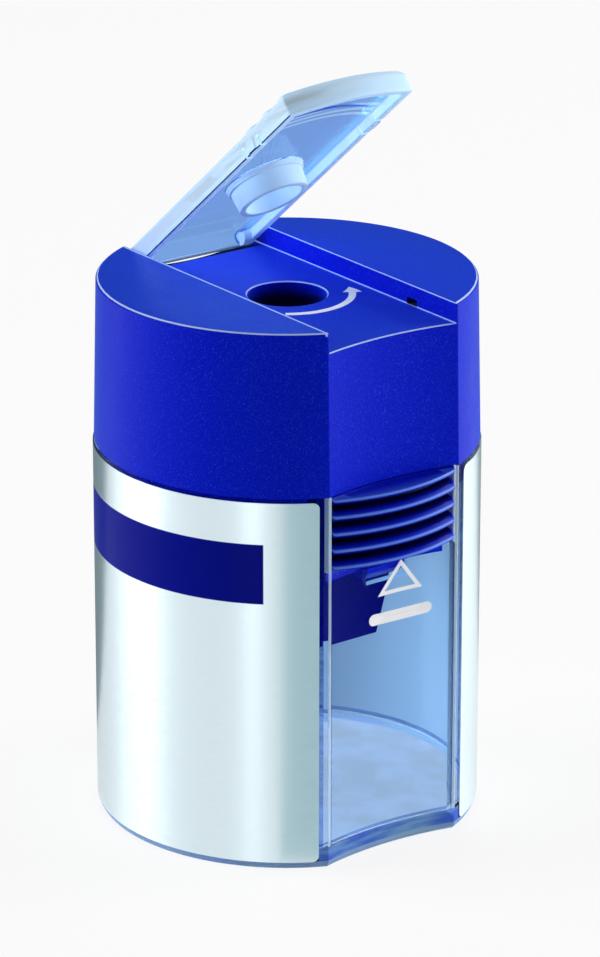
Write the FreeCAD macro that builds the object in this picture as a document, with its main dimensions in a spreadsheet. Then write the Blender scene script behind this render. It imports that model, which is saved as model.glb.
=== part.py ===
# Hand-held tub pencil sharpener with a flip-up lid, a press-to-open latch and a clear shavings tub.
# Millimetres, +Z up, origin at the centre of the base, press tongue and latch towards -Y.
import FreeCAD, Part
import math
import os
import re
from enum import IntEnum

import Sketcher

# Driving sizes, one cell each.
SIZES = {
    # Plan of the body: a round with a shallow scoop in front and another behind
    "body_radius": 20.0,
    "facet_half_width": 8.2,
    "scoop_depth": 1.0,
    "corner_round": 0.3,
    # Clear tub
    "tub_height": 40.6,
    "tub_wall": 1.2,
    "tub_floor": 1.5,
    "tub_cove": 0.5,
    "base_bevel": 0.25,
    "notch_step": 0.3,
    "notch_height": 8.4,
    "keeper_bar": 0.8,
    "keeper_slot_half_width": 2.63,
    "keeper_slot_height": 1.9,
    "keeper_skin": 0.3,
    # Foil labels on the two wings
    "label_thickness": 0.1,
    "label_gap": 0.02,
    "label_margin": 1.0,
    "label_bottom": 0.85,
    "label_top_gap": 0.45,
    "label_corner": 0.6,
    # Head cover
    "head_height": 17.2,
    "head_top_inset": 0.4,
    "head_wall": 1.4,
    "head_roof": 1.6,
    "rim_bevel": 0.25,
    "channel_step": 0.25,
    "channel_depth": 2.15,
    "channel_round": 0.2,
    "pencil_hole_radius": 4.1,
    "pencil_hole_chamfer": 0.15,
    "guide_wall": 1.5,
    "guide_length": 7.65,
    "spigot_gap": 0.15,
    "spigot_wall": 1.1,
    "spigot_height": 3.0,
    "spigot_root": 2.0,
    # Press tongue: grip ribs, tail and latch barb
    "tongue_side_gap": 0.2,
    "tongue_root_gap": 0.12,
    "tongue_lip_gap": 0.5,
    "ledge_drop": 0.3,
    "rib_count": 5,
    "rib_pitch": 1.8,
    "rib_tip": 0.35,
    "rib_depth": 1.25,
    "tail_gap": 0.2,
    "tail_thickness": 1.2,
    "tail_drop": 1.3,
    "tail_step": 0.3,
    "tongue_core_side": 2.9,
    "tongue_core_skin": 1.4,
    "latch_side_gap": 0.23,
    "latch_gap": 0.2,
    "barb_reach": 0.95,
    "barb_ramp": 0.9,
    # Holder that hangs from the roof and carries the sharpener
    "holder_foot_half_width": 6.2,
    "holder_taper_height": 6.8,
    "holder_back_lap": 0.5,
    "holder_wall": 1.2,
    "holder_front_wall": 1.4,
    "holder_cap": 1.2,
    "holder_fit": 0.05,
    "holder_ledge": 1.2,
    "holder_ledge_hole": 3.0,
    "holder_skirt": 3.7,
    # Metal sharpener, its blade and screw
    "sharpener_length": 22.4,
    "sharpener_half_width": 6.8,
    "sharpener_tip_half_width": 5.15,
    "sharpener_half_depth": 5.5,
    "sharpener_side_gap": 0.2,
    "sharpener_front_gap": 0.1,
    "bore_entry": 1.5,
    "bore_tip_radius": 0.5,
    "blade_seat_drop": 5.0,
    "shaving_cut_depth": 1.2,
    "blade_end_gap": 0.63,
    "blade_width": 5.3,
    "blade_thickness": 0.6,
    "blade_overhang": 0.3,
    "blade_bevel": 0.9,
    "blade_hole_gap": 0.15,
    "screw_offset": 3.1,
    "screw_head_radius": 1.8,
    "screw_head_height": 1.0,
    "screw_shank_radius": 0.9,
    "screw_shank_gap": 0.05,
    "screw_reach": 2.6,
    "screw_slot": 0.45,
    "screw_slot_depth": 0.5,
    # Clear lid, drawn shut about its hinge and stored open
    "lid_open_angle": 40.0,
    "lid_side_gap": 0.3,
    "lid_floor_gap": 0.1,
    "lid_plate": 1.0,
    "lid_wall": 0.9,
    "lid_tail": 1.25,
    "lid_tail_round": 0.8,
    "lid_round": 0.25,
    "hinge_inset": 0.88,
    "hinge_drop": 1.25,
    "hinge_pin_radius": 0.75,
    "hinge_pin_gap": 0.05,
    "hinge_pin_length": 1.3,
    "hinge_pin_end_gap": 0.1,
    "hinge_boss_radius": 1.0,
    "hinge_boss_length": 0.9,
    "trough_gap": 0.2,
    "ridge_count": 3,
    "ridge_width": 1.1,
    "ridge_height": 0.45,
    "ridge_bevel": 0.3,
    "ridge_pitch": 3.05,
    "ridge_end_gap": 0.25,
    "plug_gap": 0.35,
    "plug_wall": 0.7,
    "plug_reach": 1.65,
    "plug_flange_lap": 0.1,
    "plug_flange_gap": 0.2,
    "tab_ahead": 10.6,
    "tab_length": 2.7,
    "tab_slot": 0.35,
    "tab_slot_depth": 0.95,
    "nub_length": 1.3,
    "nub_height": 0.5,
    "nub_reach": 0.2,
    "nub_gap": 0.2,
}

# Places and sizes that follow from the driving ones.
PLACES = {
    "total_height": "tub_height + head_height",
    "facet_back": "sqrt(body_radius^2 - facet_half_width^2)",
    "scoop_radius": "(facet_half_width^2 + scoop_depth^2) / (2 * scoop_depth)",
    "scoop_centre": "facet_back - scoop_depth + scoop_radius",
    "facet_middle": "facet_back - scoop_depth",
    "notch_half_width": "facet_half_width - notch_step",
    "notch_floor": "tub_height - notch_height",
    "notch_reach": "body_radius - facet_middle + 2 * tub_wall",
    "slot_top": "notch_floor - keeper_bar",
    "slot_floor": "slot_top - keeper_slot_height",
    "label_inner": "body_radius + label_gap",
    "label_outer": "label_inner + label_thickness",
    "label_end": "facet_half_width + label_margin",
    "label_height": "tub_height - label_top_gap - label_bottom",
    "head_room_inset": "head_wall + head_top_inset",
    "channel_half_width": "facet_half_width - channel_step",
    "channel_floor": "total_height - channel_depth",
    "roof_under": "channel_floor - head_roof",
    "guide_radius": "pencil_hole_radius + guide_wall",
    "guide_foot": "roof_under - guide_length",
    "spigot_outer_inset": "tub_wall + spigot_gap",
    "spigot_inner_inset": "spigot_outer_inset + spigot_wall",
    "spigot_foot": "tub_height - spigot_height",
    "wing_inner": "channel_half_width + head_wall",
    "wing_room_radius": "body_radius - head_room_inset",
    "hinge_back": "facet_middle - hinge_inset",
    "hinge_height": "total_height - hinge_drop",
    "lid_half_width": "channel_half_width - lid_side_gap",
    "lid_height": "channel_depth - lid_floor_gap",
    "tail_rim_swing": "sqrt(lid_tail^2 + (lid_height - hinge_drop)^2)",
    "tail_round_back": "lid_tail - lid_tail_round",
    "tail_round_level": "hinge_drop - lid_tail_round",
    "tail_top_swing": "sqrt(tail_round_back^2 + tail_round_level^2) + lid_tail_round",
    "lid_swing": "max(tail_rim_swing; tail_top_swing)",
    "trough_radius": "lid_swing + trough_gap",
    "hinge_hole_radius": "hinge_pin_radius + hinge_pin_gap",
    "hinge_hole_reach": "channel_half_width + hinge_pin_length",
    "hinge_pin_reach": "hinge_hole_reach - hinge_pin_end_gap",
    "tongue_half_width": "notch_half_width - tongue_side_gap",
    "tongue_front": "sqrt(body_radius^2 - tongue_half_width^2)",
    "tongue_top": "tub_height - tongue_root_gap",
    "tongue_ledge": "tub_height - ledge_drop",
    "tongue_foot": "notch_floor + tongue_lip_gap",
    "tongue_core_half_width": "tongue_half_width - tongue_core_side",
    "tail_half_width": "tongue_half_width - tail_step",
    "tail_front_inset": "tub_wall + tail_gap",
    "tail_back_inset": "tail_front_inset + tail_thickness",
    "tail_foot": "notch_floor - tail_drop",
    "tail_front": "facet_middle - tail_front_inset",
    "tail_back": "facet_middle - tail_back_inset",
    "barb_tip": "tail_front + barb_reach",
    "latch_half_width": "keeper_slot_half_width - latch_side_gap",
    "latch_top": "slot_top - latch_gap",
    "latch_foot": "slot_floor + latch_gap",
    "groove_half_height": "(rib_pitch - rib_tip) / 2",
    "first_groove": "tongue_ledge - (rib_tip + rib_pitch) / 2",
    "sharpener_foot": "guide_foot - sharpener_length",
    "holder_half_width": "sharpener_half_width + sharpener_side_gap + holder_wall",
    "holder_front": "sharpener_half_depth + sharpener_front_gap + holder_front_wall",
    "holder_back": "sharpener_half_depth + holder_back_lap",
    "holder_ledge_under": "sharpener_foot - holder_ledge",
    "holder_foot": "holder_ledge_under - holder_skirt",
    "holder_shoulder": "holder_foot + holder_taper_height",
    "holder_slope": "(holder_half_width - holder_foot_half_width) / holder_taper_height",
    "bore_slope": "(pencil_hole_radius - bore_tip_radius) / (sharpener_length - bore_entry)",
    "bore_tilt": "atan(bore_slope)",
    "seat_top": "guide_foot - blade_seat_drop",
    "screw_height": "(seat_top + sharpener_foot) / 2",
    "screw_seat": "bore_tip_radius + (screw_height - sharpener_foot) * bore_slope",
    "screw_hole_radius": "screw_shank_radius + screw_shank_gap",
    "blade_hole_radius": "screw_shank_radius + blade_hole_gap",
    "blade_length": "(seat_top - sharpener_foot) / cos(bore_tilt) - 2 * blade_end_gap",
    "blade_edge": "screw_offset + blade_overhang",
    "lid_rim": "hinge_drop - lid_height",
    "lid_under": "hinge_drop - lid_plate",
    "lid_floor": "hinge_drop - channel_depth",
    "plug_radius": "pencil_hole_radius - plug_gap",
    "plug_flange_radius": "pencil_hole_radius + plug_flange_lap",
    "plug_bore": "plug_radius - plug_wall",
    "plug_length": "lid_under - lid_floor + plug_reach",
    "plug_flange_height": "lid_under - lid_floor - plug_flange_gap",
    "tab_middle": "hinge_back + tab_ahead",
    "nub_hole_half": "nub_length / 2 + nub_gap",
}


class Turn(IntEnum):
    """The side to which an arc bulges, along the way that it is drawn."""

    LEFT = 1
    RIGHT = -1


class Spot(IntEnum):
    """The points of a sketch shape, as constraints number them."""

    START = 1
    END = 2
    CENTRE = 3


class Axis(IntEnum):
    """A sketch's own axes, as constraints number them."""

    X = -1
    Y = -2


# Lengths this close count as equal, and a coordinate under ZERO lies on its axis.
MATCH = 0.01
ZERO = 1e-9

doc = FreeCAD.newDocument("TubSharpener")


def cells(formula):
    """Return a formula with each named size written as a cell of its sheet."""
    def cell(match):
        word = match.group()
        if word in SIZES:
            return "Sizes." + word
        return "Places." + word if word in PLACES else word
    return re.sub("[a-z][a-z_]*", cell, formula)


def fill_sheet(name, rows):
    """Make one sheet: names in column A, aliased values or formulas in column B."""
    sheet = doc.addObject("Spreadsheet::Sheet", name)
    for row, (alias, entry) in enumerate(rows.items(), start=1):
        sheet.set(f"A{row}", alias)
        sheet.set(f"B{row}", "=" + cells(entry) if isinstance(entry, str) else str(entry))
        sheet.setAlias(f"B{row}", alias)
    doc.recompute()
    return sheet


sizes = fill_sheet("Sizes", SIZES)
places = fill_sheet("Places", PLACES)


def value(formula):
    """Return the number that a formula of named sizes gives."""
    result = sizes.evalExpression(cells(formula))
    return float(getattr(result, "Value", result))


def tie(thing, formulas):
    """Bind properties of a document object to formulas of named sizes."""
    for name, formula in formulas.items():
        thing.setExpression(name, cells(formula))


def new_body(node):
    """Start a sub-part whose label is its node name."""
    body = doc.addObject("PartDesign::Body", node)
    body.Label = node
    return body


def datum(body, role):
    """Return one of a body's own origin planes or axes."""
    return next(item for item in body.Origin.OriginFeatures if item.Role == role)


def dimension_point(sketch, shape, end, x, y):
    """Hold a point of a sketch at its two coordinates."""
    for kind, axis, formula in (("DistanceX", Axis.Y, x), ("DistanceY", Axis.X, y)):
        if abs(value(formula)) < ZERO:
            sketch.addConstraint(Sketcher.Constraint("PointOnObject", shape, end, axis))
            continue
        held = Sketcher.Constraint(kind, Axis.X, Spot.START, shape, end, value(formula))
        size = sketch.addConstraint(held)
        tie(sketch, {f"Constraints[{size}]": formula})


def dimension_radius(sketch, shape, radius):
    """Hold the radius of a circle or an arc."""
    size = sketch.addConstraint(Sketcher.Constraint("Radius", shape, value(radius)))
    tie(sketch, {f"Constraints[{size}]": radius})


def circle(x, y, radius):
    """Return a loop that is one circle."""
    return {"centre": (x, y), "radius": radius}


def rectangle(left, low, right, high):
    """Return a loop of four straight sides."""
    return [(left, low), (right, low), (right, high), (left, high)]


def add_circle(sketch, loop):
    """Draw a circle loop."""
    x, y = loop["centre"]
    middle = FreeCAD.Vector(value(x), value(y), 0)
    up = FreeCAD.Vector(0, 0, 1)
    shape = sketch.addGeometry(Part.Circle(middle, up, value(loop["radius"])), False)
    dimension_point(sketch, shape, Spot.CENTRE, x, y)
    dimension_radius(sketch, shape, loop["radius"])


def edge_between(start, end, corner):
    """Return the line or the arc that leaves a corner. An arc bulges to the side its turn names."""
    if len(corner) == 2:
        return Part.LineSegment(start, end)
    radius, turn = value(corner[2]), corner[3]
    chord = end - start
    side = FreeCAD.Vector(-chord.y, chord.x, 0) / chord.Length * turn
    rise = radius - (radius ** 2 - chord.Length ** 2 / 4) ** 0.5
    return Part.Arc(start, (start + end) / 2 + side * rise, end)


def add_outline(sketch, corners):
    """Draw a closed outline. A corner is x, y, and for an arc also its radius and its turn."""
    points = [FreeCAD.Vector(value(corner[0]), value(corner[1]), 0) for corner in corners]
    ends = []
    for index, corner in enumerate(corners):
        start, end = points[index], points[(index + 1) % len(points)]
        shape = sketch.addGeometry(edge_between(start, end, corner), False)
        forward = sketch.getPoint(shape, Spot.START).distanceToPoint(start) < MATCH
        ends.append((shape, Spot.START, Spot.END) if forward else (shape, Spot.END, Spot.START))
    for index, corner in enumerate(corners):
        shape, first, last = ends[index]
        following, following_first, _ = ends[(index + 1) % len(ends)]
        sketch.addConstraint(Sketcher.Constraint("Coincident", shape, last, following, following_first))
        dimension_point(sketch, shape, first, corner[0], corner[1])
        if len(corner) > 2:
            dimension_radius(sketch, shape, corner[2])


def draw(body, name, plane, loops, lift="0"):
    """Draw loops on an origin plane of a body, moved along the plane's normal by lift."""
    sketch = body.newObject("Sketcher::SketchObject", name)
    sketch.AttachmentSupport = [(datum(body, plane), "")]
    sketch.MapMode = "FlatFace"
    tie(sketch, {"AttachmentOffset.Base.z": lift})
    for loop in loops:
        if isinstance(loop, dict):
            add_circle(sketch, loop)
        else:
            add_outline(sketch, loop)
    return sketch


def settle(body, feature, adds, base=None):
    """Work a feature out and make sure that it added material to its base, or removed some."""
    base = base or feature.BaseFeature
    before = base.Shape.Volume if base else 0.0
    body.Tip = feature
    doc.recompute()
    if "Invalid" in feature.State:
        raise ValueError(f"{feature.Name} fails")
    change = feature.Shape.Volume - before
    if (change > 0) != adds:
        raise ValueError(f"{feature.Name} changes the volume by {change:.4f}")
    return feature


def extrude(body, kind, name, sketch, length, backwards):
    """Pad or pocket a sketch by a length."""
    feature = body.newObject("PartDesign::" + kind, name)
    feature.Profile = sketch
    feature.Reversed = backwards
    tie(feature, {"Length": length})
    return settle(body, feature, kind == "Pad")


def pad(body, name, sketch, length, backwards=False):
    """Add material along the sketch's normal, or against it."""
    return extrude(body, "Pad", name, sketch, length, backwards)


def pocket(body, name, sketch, length, along=False):
    """Remove material against the sketch's normal, or along it."""
    return extrude(body, "Pocket", name, sketch, length, along)


def turn(body, kind, name, sketch):
    """Revolve or groove a sketch right round the body's upright axis."""
    feature = body.newObject("PartDesign::" + kind, name)
    feature.Profile = sketch
    feature.ReferenceAxis = (datum(body, "Z_Axis"), [""])
    feature.Angle = 360.0
    return settle(body, feature, kind == "Revolution")


def primitive(body, kind, name, formulas, frame=None):
    """Add or subtract a primitive, bound to formulas, at a frame measured from the body's origin."""
    feature = body.newObject("PartDesign::" + kind, name)
    feature.AttachmentSupport = [(datum(body, "XY_Plane"), "")]
    feature.MapMode = "FlatFace"
    if frame:
        feature.AttachmentOffset = frame
    tie(feature, formulas)
    return settle(body, feature, kind.startswith("Additive"))


def ease(body, kind, name, size, chosen, adds=False):
    """Fillet or chamfer the edges that a test chooses. In a hollow corner that adds material."""
    base = body.Tip
    edges = [f"Edge{n}" for n, edge in enumerate(base.Shape.Edges, start=1) if chosen(edge)]
    if not edges:
        raise ValueError(f"{name} finds no edge")
    feature = body.newObject("PartDesign::" + kind, name)
    feature.Base = (base, edges)
    tie(feature, {"Radius" if kind == "Fillet" else "Size": size})
    return settle(body, feature, adds)


def near(first, second):
    """Tell whether two lengths agree."""
    return abs(first - second) < MATCH


def lies_at(edge, height):
    """Tell whether an edge lies in the level plane at a height."""
    return near(edge.BoundBox.ZMin, height) and near(edge.BoundBox.ZMax, height)


def rises(edge, length):
    """Tell whether an edge climbs by a length."""
    return near(edge.BoundBox.ZLength, length)


def spans(edge, crown):
    """Tell whether an edge belongs to the thumb ridge whose foremost point is at a crown."""
    return crown - MATCH < edge.BoundBox.YMin < crown + value("ridge_pitch") - MATCH


def plan(inset):
    """Return the outline of the body, two round wings and two scooped facets, moved in by an inset."""
    wing = f"(body_radius - ({inset}))"
    scoop = f"(scoop_radius + ({inset}))"
    back = f"((scoop_centre^2 + {wing}^2 - {scoop}^2) / (2 * scoop_centre))"
    side = f"sqrt({wing}^2 - {back}^2)"
    return [
        (side, f"-{back}", wing, Turn.RIGHT),
        (side, back, scoop, Turn.LEFT),
        (f"-{side}", back, wing, Turn.RIGHT),
        (f"-{side}", f"-{back}", scoop, Turn.LEFT),
    ]


def scoop_line(inset, half_width):
    """Return the distance behind the front, at a half width, of the facet moved in by an inset."""
    return f"(scoop_centre - sqrt((scoop_radius + {inset})^2 - {half_width}^2))"


def make_tub():
    """Clear tub: shell with a notch for the press tongue and, inside, a blind keeper slot for its barb."""
    body = new_body("tub")
    pad(body, "tub_block", draw(body, "tub_plan", "XY_Plane", [plan("0")]), "tub_height")
    ease(body, "Fillet", "tub_corners", "corner_round", lambda edge: rises(edge, value("tub_height")))
    ease(body, "Chamfer", "tub_base", "base_bevel", lambda edge: lies_at(edge, 0.0))
    room = draw(body, "tub_room_plan", "XY_Plane", [plan("tub_wall")], "tub_floor")
    pocket(body, "tub_room", room, "tub_height - tub_floor", along=True)
    ease(body, "Chamfer", "tub_floor_cove", "tub_cove",
         lambda edge: lies_at(edge, value("tub_floor")), adds=True)
    notch = rectangle("-notch_half_width", "notch_floor", "notch_half_width", "tub_height + tub_wall")
    outline = draw(body, "notch_outline", "XZ_Plane", [notch], "body_radius")
    pocket(body, "tongue_notch", outline, "notch_reach")
    slot = rectangle("-keeper_slot_half_width", "slot_floor", "keeper_slot_half_width", "slot_top")
    outline = draw(body, "slot_outline", "XZ_Plane", [slot], "facet_middle - keeper_skin")
    pocket(body, "keeper_slot", outline, "notch_reach")
    return body


def make_label(node, side):
    """Foil label wrapped round one wing, with rounded corners."""
    body = new_body(node)
    end = f"{side} * label_end"
    inner = "sqrt(label_inner^2 - label_end^2)"
    outer = "sqrt(label_outer^2 - label_end^2)"
    bulge = Turn.RIGHT if side > 0 else Turn.LEFT
    strip = [
        (end, f"-{outer}", "label_outer", bulge),
        (end, outer),
        (end, inner, "label_inner", -bulge),
        (end, f"-{inner}"),
    ]
    outline = draw(body, node + "_plan", "XY_Plane", [strip], "label_bottom")
    pad(body, node + "_strip", outline, "label_height")
    away = f"{end} - {side} * label_corner"
    inside = f"{end} + {side} * label_corner"
    for name, level, up in (("top", "label_bottom + label_height", 1), ("bottom", "label_bottom", -1)):
        above = f"{level} + {up} * label_corner"
        below = f"{level} - {up} * label_corner"
        spare = [
            (away, above),
            (inside, above),
            (inside, level, "label_corner", Turn.RIGHT * side * up),
            (end, below),
            (away, below),
        ]
        sketch = draw(body, f"{node}_{name}_outline", "XZ_Plane", [spare], "-label_outer")
        pocket(body, f"{node}_{name}_corners", sketch, "2 * label_outer", along=True)
    return body


def make_head_cover():
    """Moulded head: drafted shell, lid channel, pencil guide, spigot, hinge trough and latch holes."""
    body = new_body("head_cover")
    primitive(body, "AdditiveCone", "head_block", {
        "Radius1": "body_radius",
        "Radius2": "body_radius - head_top_inset",
        "Height": "head_height",
        "AttachmentOffset.Base.z": "tub_height",
    })
    for name, way in (("front", "-"), ("back", "")):
        primitive(body, "SubtractiveCone", name + "_scoop", {
            "Radius1": "scoop_radius",
            "Radius2": "scoop_radius + head_top_inset",
            "Height": "head_height",
            "AttachmentOffset.Base.y": way + "scoop_centre",
            "AttachmentOffset.Base.z": "tub_height",
        })
    ease(body, "Fillet", "head_corners", "corner_round", lambda edge: rises(edge, value("head_height")))
    top = value("total_height")
    ease(body, "Chamfer", "head_rim", "rim_bevel", lambda edge: lies_at(edge, top))
    lip = "(channel_half_width + channel_round)"
    brim = "(total_height - channel_round)"
    channel = [
        ("-channel_half_width", "channel_floor"),
        ("channel_half_width", "channel_floor"),
        ("channel_half_width", brim, "channel_round", Turn.LEFT),
        (lip, "total_height"),
        (lip, "total_height + channel_round"),
        (f"-{lip}", "total_height + channel_round"),
        (f"-{lip}", "total_height", "channel_round", Turn.LEFT),
        ("-channel_half_width", brim),
    ]
    outline = draw(body, "channel_outline", "XZ_Plane", [channel], "body_radius")
    pocket(body, "lid_channel", outline, "2 * body_radius")
    floor, wide = value("channel_floor"), value("channel_half_width")
    ease(body, "Chamfer", "channel_ends", "channel_round",
         lambda edge: lies_at(edge, floor) and edge.BoundBox.XLength > wide)
    room = draw(body, "head_room_plan", "XY_Plane", [plan("head_room_inset")], "tub_height")
    pocket(body, "head_room", room, "roof_under - tub_height", along=True)
    for side, name in ((1, "right"), (-1, "left")):
        reach = "sqrt(wing_room_radius^2 - wing_inner^2)"
        edge = f"{side} * wing_inner"
        bulge = Turn.RIGHT if side > 0 else Turn.LEFT
        wing = [(edge, f"-{reach}", "wing_room_radius", bulge), (edge, reach)]
        sketch = draw(body, name + "_wing_plan", "XY_Plane", [wing], "tub_height")
        pocket(body, name + "_wing_room", sketch, "head_height - head_roof", along=True)
    guide = draw(body, "guide_plan", "XY_Plane", [circle("0", "0", "guide_radius")], "guide_foot")
    pad(body, "pencil_guide", guide, "guide_length + head_roof / 2")
    round_hole = circle("0", "0", "pencil_hole_radius")
    outline = draw(body, "pencil_hole_plan", "XY_Plane", [round_hole], "total_height")
    pocket(body, "pencil_hole", outline, "head_height")
    ease(body, "Chamfer", "pencil_hole_lip", "pencil_hole_chamfer",
         lambda edge: lies_at(edge, floor) and near(edge.Length, edge.BoundBox.XLength * math.pi))
    ring = [plan("spigot_outer_inset"), plan("spigot_inner_inset")]
    spigot = draw(body, "spigot_plan", "XY_Plane", ring, "spigot_foot")
    pad(body, "spigot", spigot, "spigot_height + spigot_root")
    aside = "(facet_half_width + tub_wall)"
    gap = rectangle(f"-{aside}", "spigot_foot", aside, "tub_height")
    outline = draw(body, "spigot_gap_outline", "XZ_Plane", [gap], "body_radius")
    pocket(body, "spigot_gap", outline, "body_radius - tail_back + spigot_wall")
    swing = circle("hinge_back", "hinge_height", "trough_radius")
    trough = draw(body, "trough_outline", "YZ_Plane", [swing], "-channel_half_width")
    pocket(body, "hinge_trough", trough, "2 * channel_half_width", along=True)
    pin = circle("hinge_back", "hinge_height", "hinge_hole_radius")
    pins = draw(body, "hinge_hole_outline", "YZ_Plane", [pin], "-hinge_hole_reach")
    pocket(body, "hinge_holes", pins, "2 * hinge_hole_reach", along=True)
    catch_top = "channel_floor + nub_height + nub_gap"
    catch = rectangle("-tab_ahead - nub_hole_half", "channel_floor", "nub_hole_half - tab_ahead", catch_top)
    holes = draw(body, "catch_outline", "YZ_Plane", [catch], "-wing_inner - head_wall / 2")
    pocket(body, "catch_holes", holes, "2 * wing_inner + head_wall", along=True)
    return body


def make_press_tongue():
    """Press tongue: block bulging out of the notch with grip grooves, a tail and a latch barb."""
    body = new_body("press_tongue")
    front = "tongue_front"
    back = scoop_line("tail_back_inset", "tongue_half_width")
    block = [
        ("-tongue_half_width", f"-{front}", "body_radius", Turn.RIGHT),
        ("tongue_half_width", f"-{front}"),
        ("tongue_half_width", f"-{back}", "scoop_radius + tail_back_inset", Turn.RIGHT),
        ("-tongue_half_width", f"-{back}"),
    ]
    outline = draw(body, "tongue_plan", "XY_Plane", [block], "tongue_foot")
    pad(body, "tongue_block", outline, "tongue_top - tongue_foot")
    scoop = circle("0", "-scoop_centre", "scoop_radius")
    outline = draw(body, "ledge_plan", "XY_Plane", [scoop], "tub_height")
    pocket(body, "tongue_ledge_cut", outline, "ledge_drop")
    flare = "(body_radius + rib_depth)"
    groove = [
        ("rib_depth - body_radius", "first_groove"),
        (f"-{flare}", "first_groove - 2 * groove_half_height"),
        (f"-{flare}", "first_groove + 2 * groove_half_height"),
    ]
    cut = turn(body, "Groove", "grip_groove", draw(body, "groove_outline", "YZ_Plane", [groove]))
    grooves = body.newObject("PartDesign::LinearPattern", "grip_grooves")
    grooves.Originals = [cut]
    grooves.Direction = (datum(body, "Z_Axis"), [""])
    grooves.Reversed = True
    tie(grooves, {"Length": "(rib_count - 2) * rib_pitch", "Occurrences": "rib_count - 1"})
    settle(body, grooves, False, cut)
    low, high = "tongue_foot + tongue_core_skin", "tongue_top - tongue_core_skin"
    core = rectangle("-tongue_core_half_width", low, "tongue_core_half_width", high)
    outline = draw(body, "core_outline", "XZ_Plane", [core], "tail_back - tail_thickness")
    deep = "body_radius - rib_depth - tongue_core_skin - tail_back + tail_thickness"
    pocket(body, "tongue_core", outline, deep, along=True)
    tail_front = scoop_line("tail_front_inset", "tail_half_width")
    tail_back = scoop_line("tail_back_inset", "tail_half_width")
    tail = [
        ("-tail_half_width", f"-{tail_front}", "scoop_radius + tail_front_inset", Turn.LEFT),
        ("tail_half_width", f"-{tail_front}"),
        ("tail_half_width", f"-{tail_back}", "scoop_radius + tail_back_inset", Turn.RIGHT),
        ("-tail_half_width", f"-{tail_back}"),
    ]
    pad(body, "tail", draw(body, "tail_plan", "XY_Plane", [tail], "tail_foot"),
        "tongue_foot - tail_foot + tongue_core_skin / 2")
    barb = [
        ("-tail_back", "latch_top"),
        ("-tail_back", "latch_foot"),
        ("-tail_front", "latch_foot"),
        ("-barb_tip", "latch_foot + barb_ramp"),
        ("-barb_tip", "latch_top"),
    ]
    outline = draw(body, "barb_outline", "YZ_Plane", [barb], "-latch_half_width")
    pad(body, "latch_barb", outline, "2 * latch_half_width")
    return body


def holder_inside(height):
    """Return the inner half width of the holder at a height in its taper."""
    return f"(holder_foot_half_width + ({height} - holder_foot) * holder_slope - holder_wall)"


def make_sharpener_holder():
    """Holder: tapering chute open behind, with a cap round the pencil guide and a ledge for the sharpener."""
    body = new_body("sharpener_holder")
    outside = [
        ("-holder_half_width", "roof_under"),
        ("-holder_half_width", "holder_shoulder"),
        ("-holder_foot_half_width", "holder_foot"),
        ("holder_foot_half_width", "holder_foot"),
        ("holder_half_width", "holder_shoulder"),
        ("holder_half_width", "roof_under"),
    ]
    pad(body, "chute", draw(body, "chute_outline", "XZ_Plane", [outside], "holder_front"),
        "holder_front + holder_back", backwards=True)
    ledge = holder_inside("sharpener_foot")
    inner = "holder_half_width - holder_wall"
    ceiling = "roof_under - holder_cap"
    room = [
        (f"-({inner})", ceiling),
        (f"-({inner})", "holder_shoulder"),
        (f"-{ledge}", "sharpener_foot"),
        (ledge, "sharpener_foot"),
        (inner, "holder_shoulder"),
        (inner, ceiling),
    ]
    deep = "holder_front + holder_back - holder_front_wall"
    outline = draw(body, "room_outline", "XZ_Plane", [room], "-holder_back")
    pocket(body, "sharpener_room", outline, deep, along=True)
    mouth = "holder_foot_half_width - holder_wall"
    throat = holder_inside("holder_ledge_under")
    skirt = [
        (f"-{throat}", "holder_ledge_under"),
        (f"-({mouth})", "holder_foot"),
        (mouth, "holder_foot"),
        (throat, "holder_ledge_under"),
    ]
    outline = draw(body, "skirt_outline", "XZ_Plane", [skirt], "-holder_back")
    pocket(body, "skirt_room", outline, deep, along=True)
    collar = circle("0", "0", "guide_radius + holder_fit")
    pocket(body, "guide_collar", draw(body, "collar_plan", "XY_Plane", [collar], "roof_under"), "holder_cap")
    drop = circle("0", "0", "holder_ledge_hole")
    outline = draw(body, "ledge_hole_plan", "XY_Plane", [drop], "sharpener_foot")
    pocket(body, "ledge_hole", outline, "holder_ledge")
    return body


def seat_line(height):
    """Return how far behind the bore's axis the blade seat lies at a height."""
    return f"(bore_tip_radius + ({height} - sharpener_foot) * bore_slope)"


def seat_frame():
    """Return the frame of the blade seat: origin at the screw, Z out of the seat, Y down it."""
    origin = FreeCAD.Vector(-value("screw_offset"), value("screw_seat"), value("screw_height"))
    right_angle = 90.0
    tilt = FreeCAD.Rotation(FreeCAD.Vector(1, 0, 0), -right_angle - value("bore_tilt"))
    return FreeCAD.Placement(origin, tilt)


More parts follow.
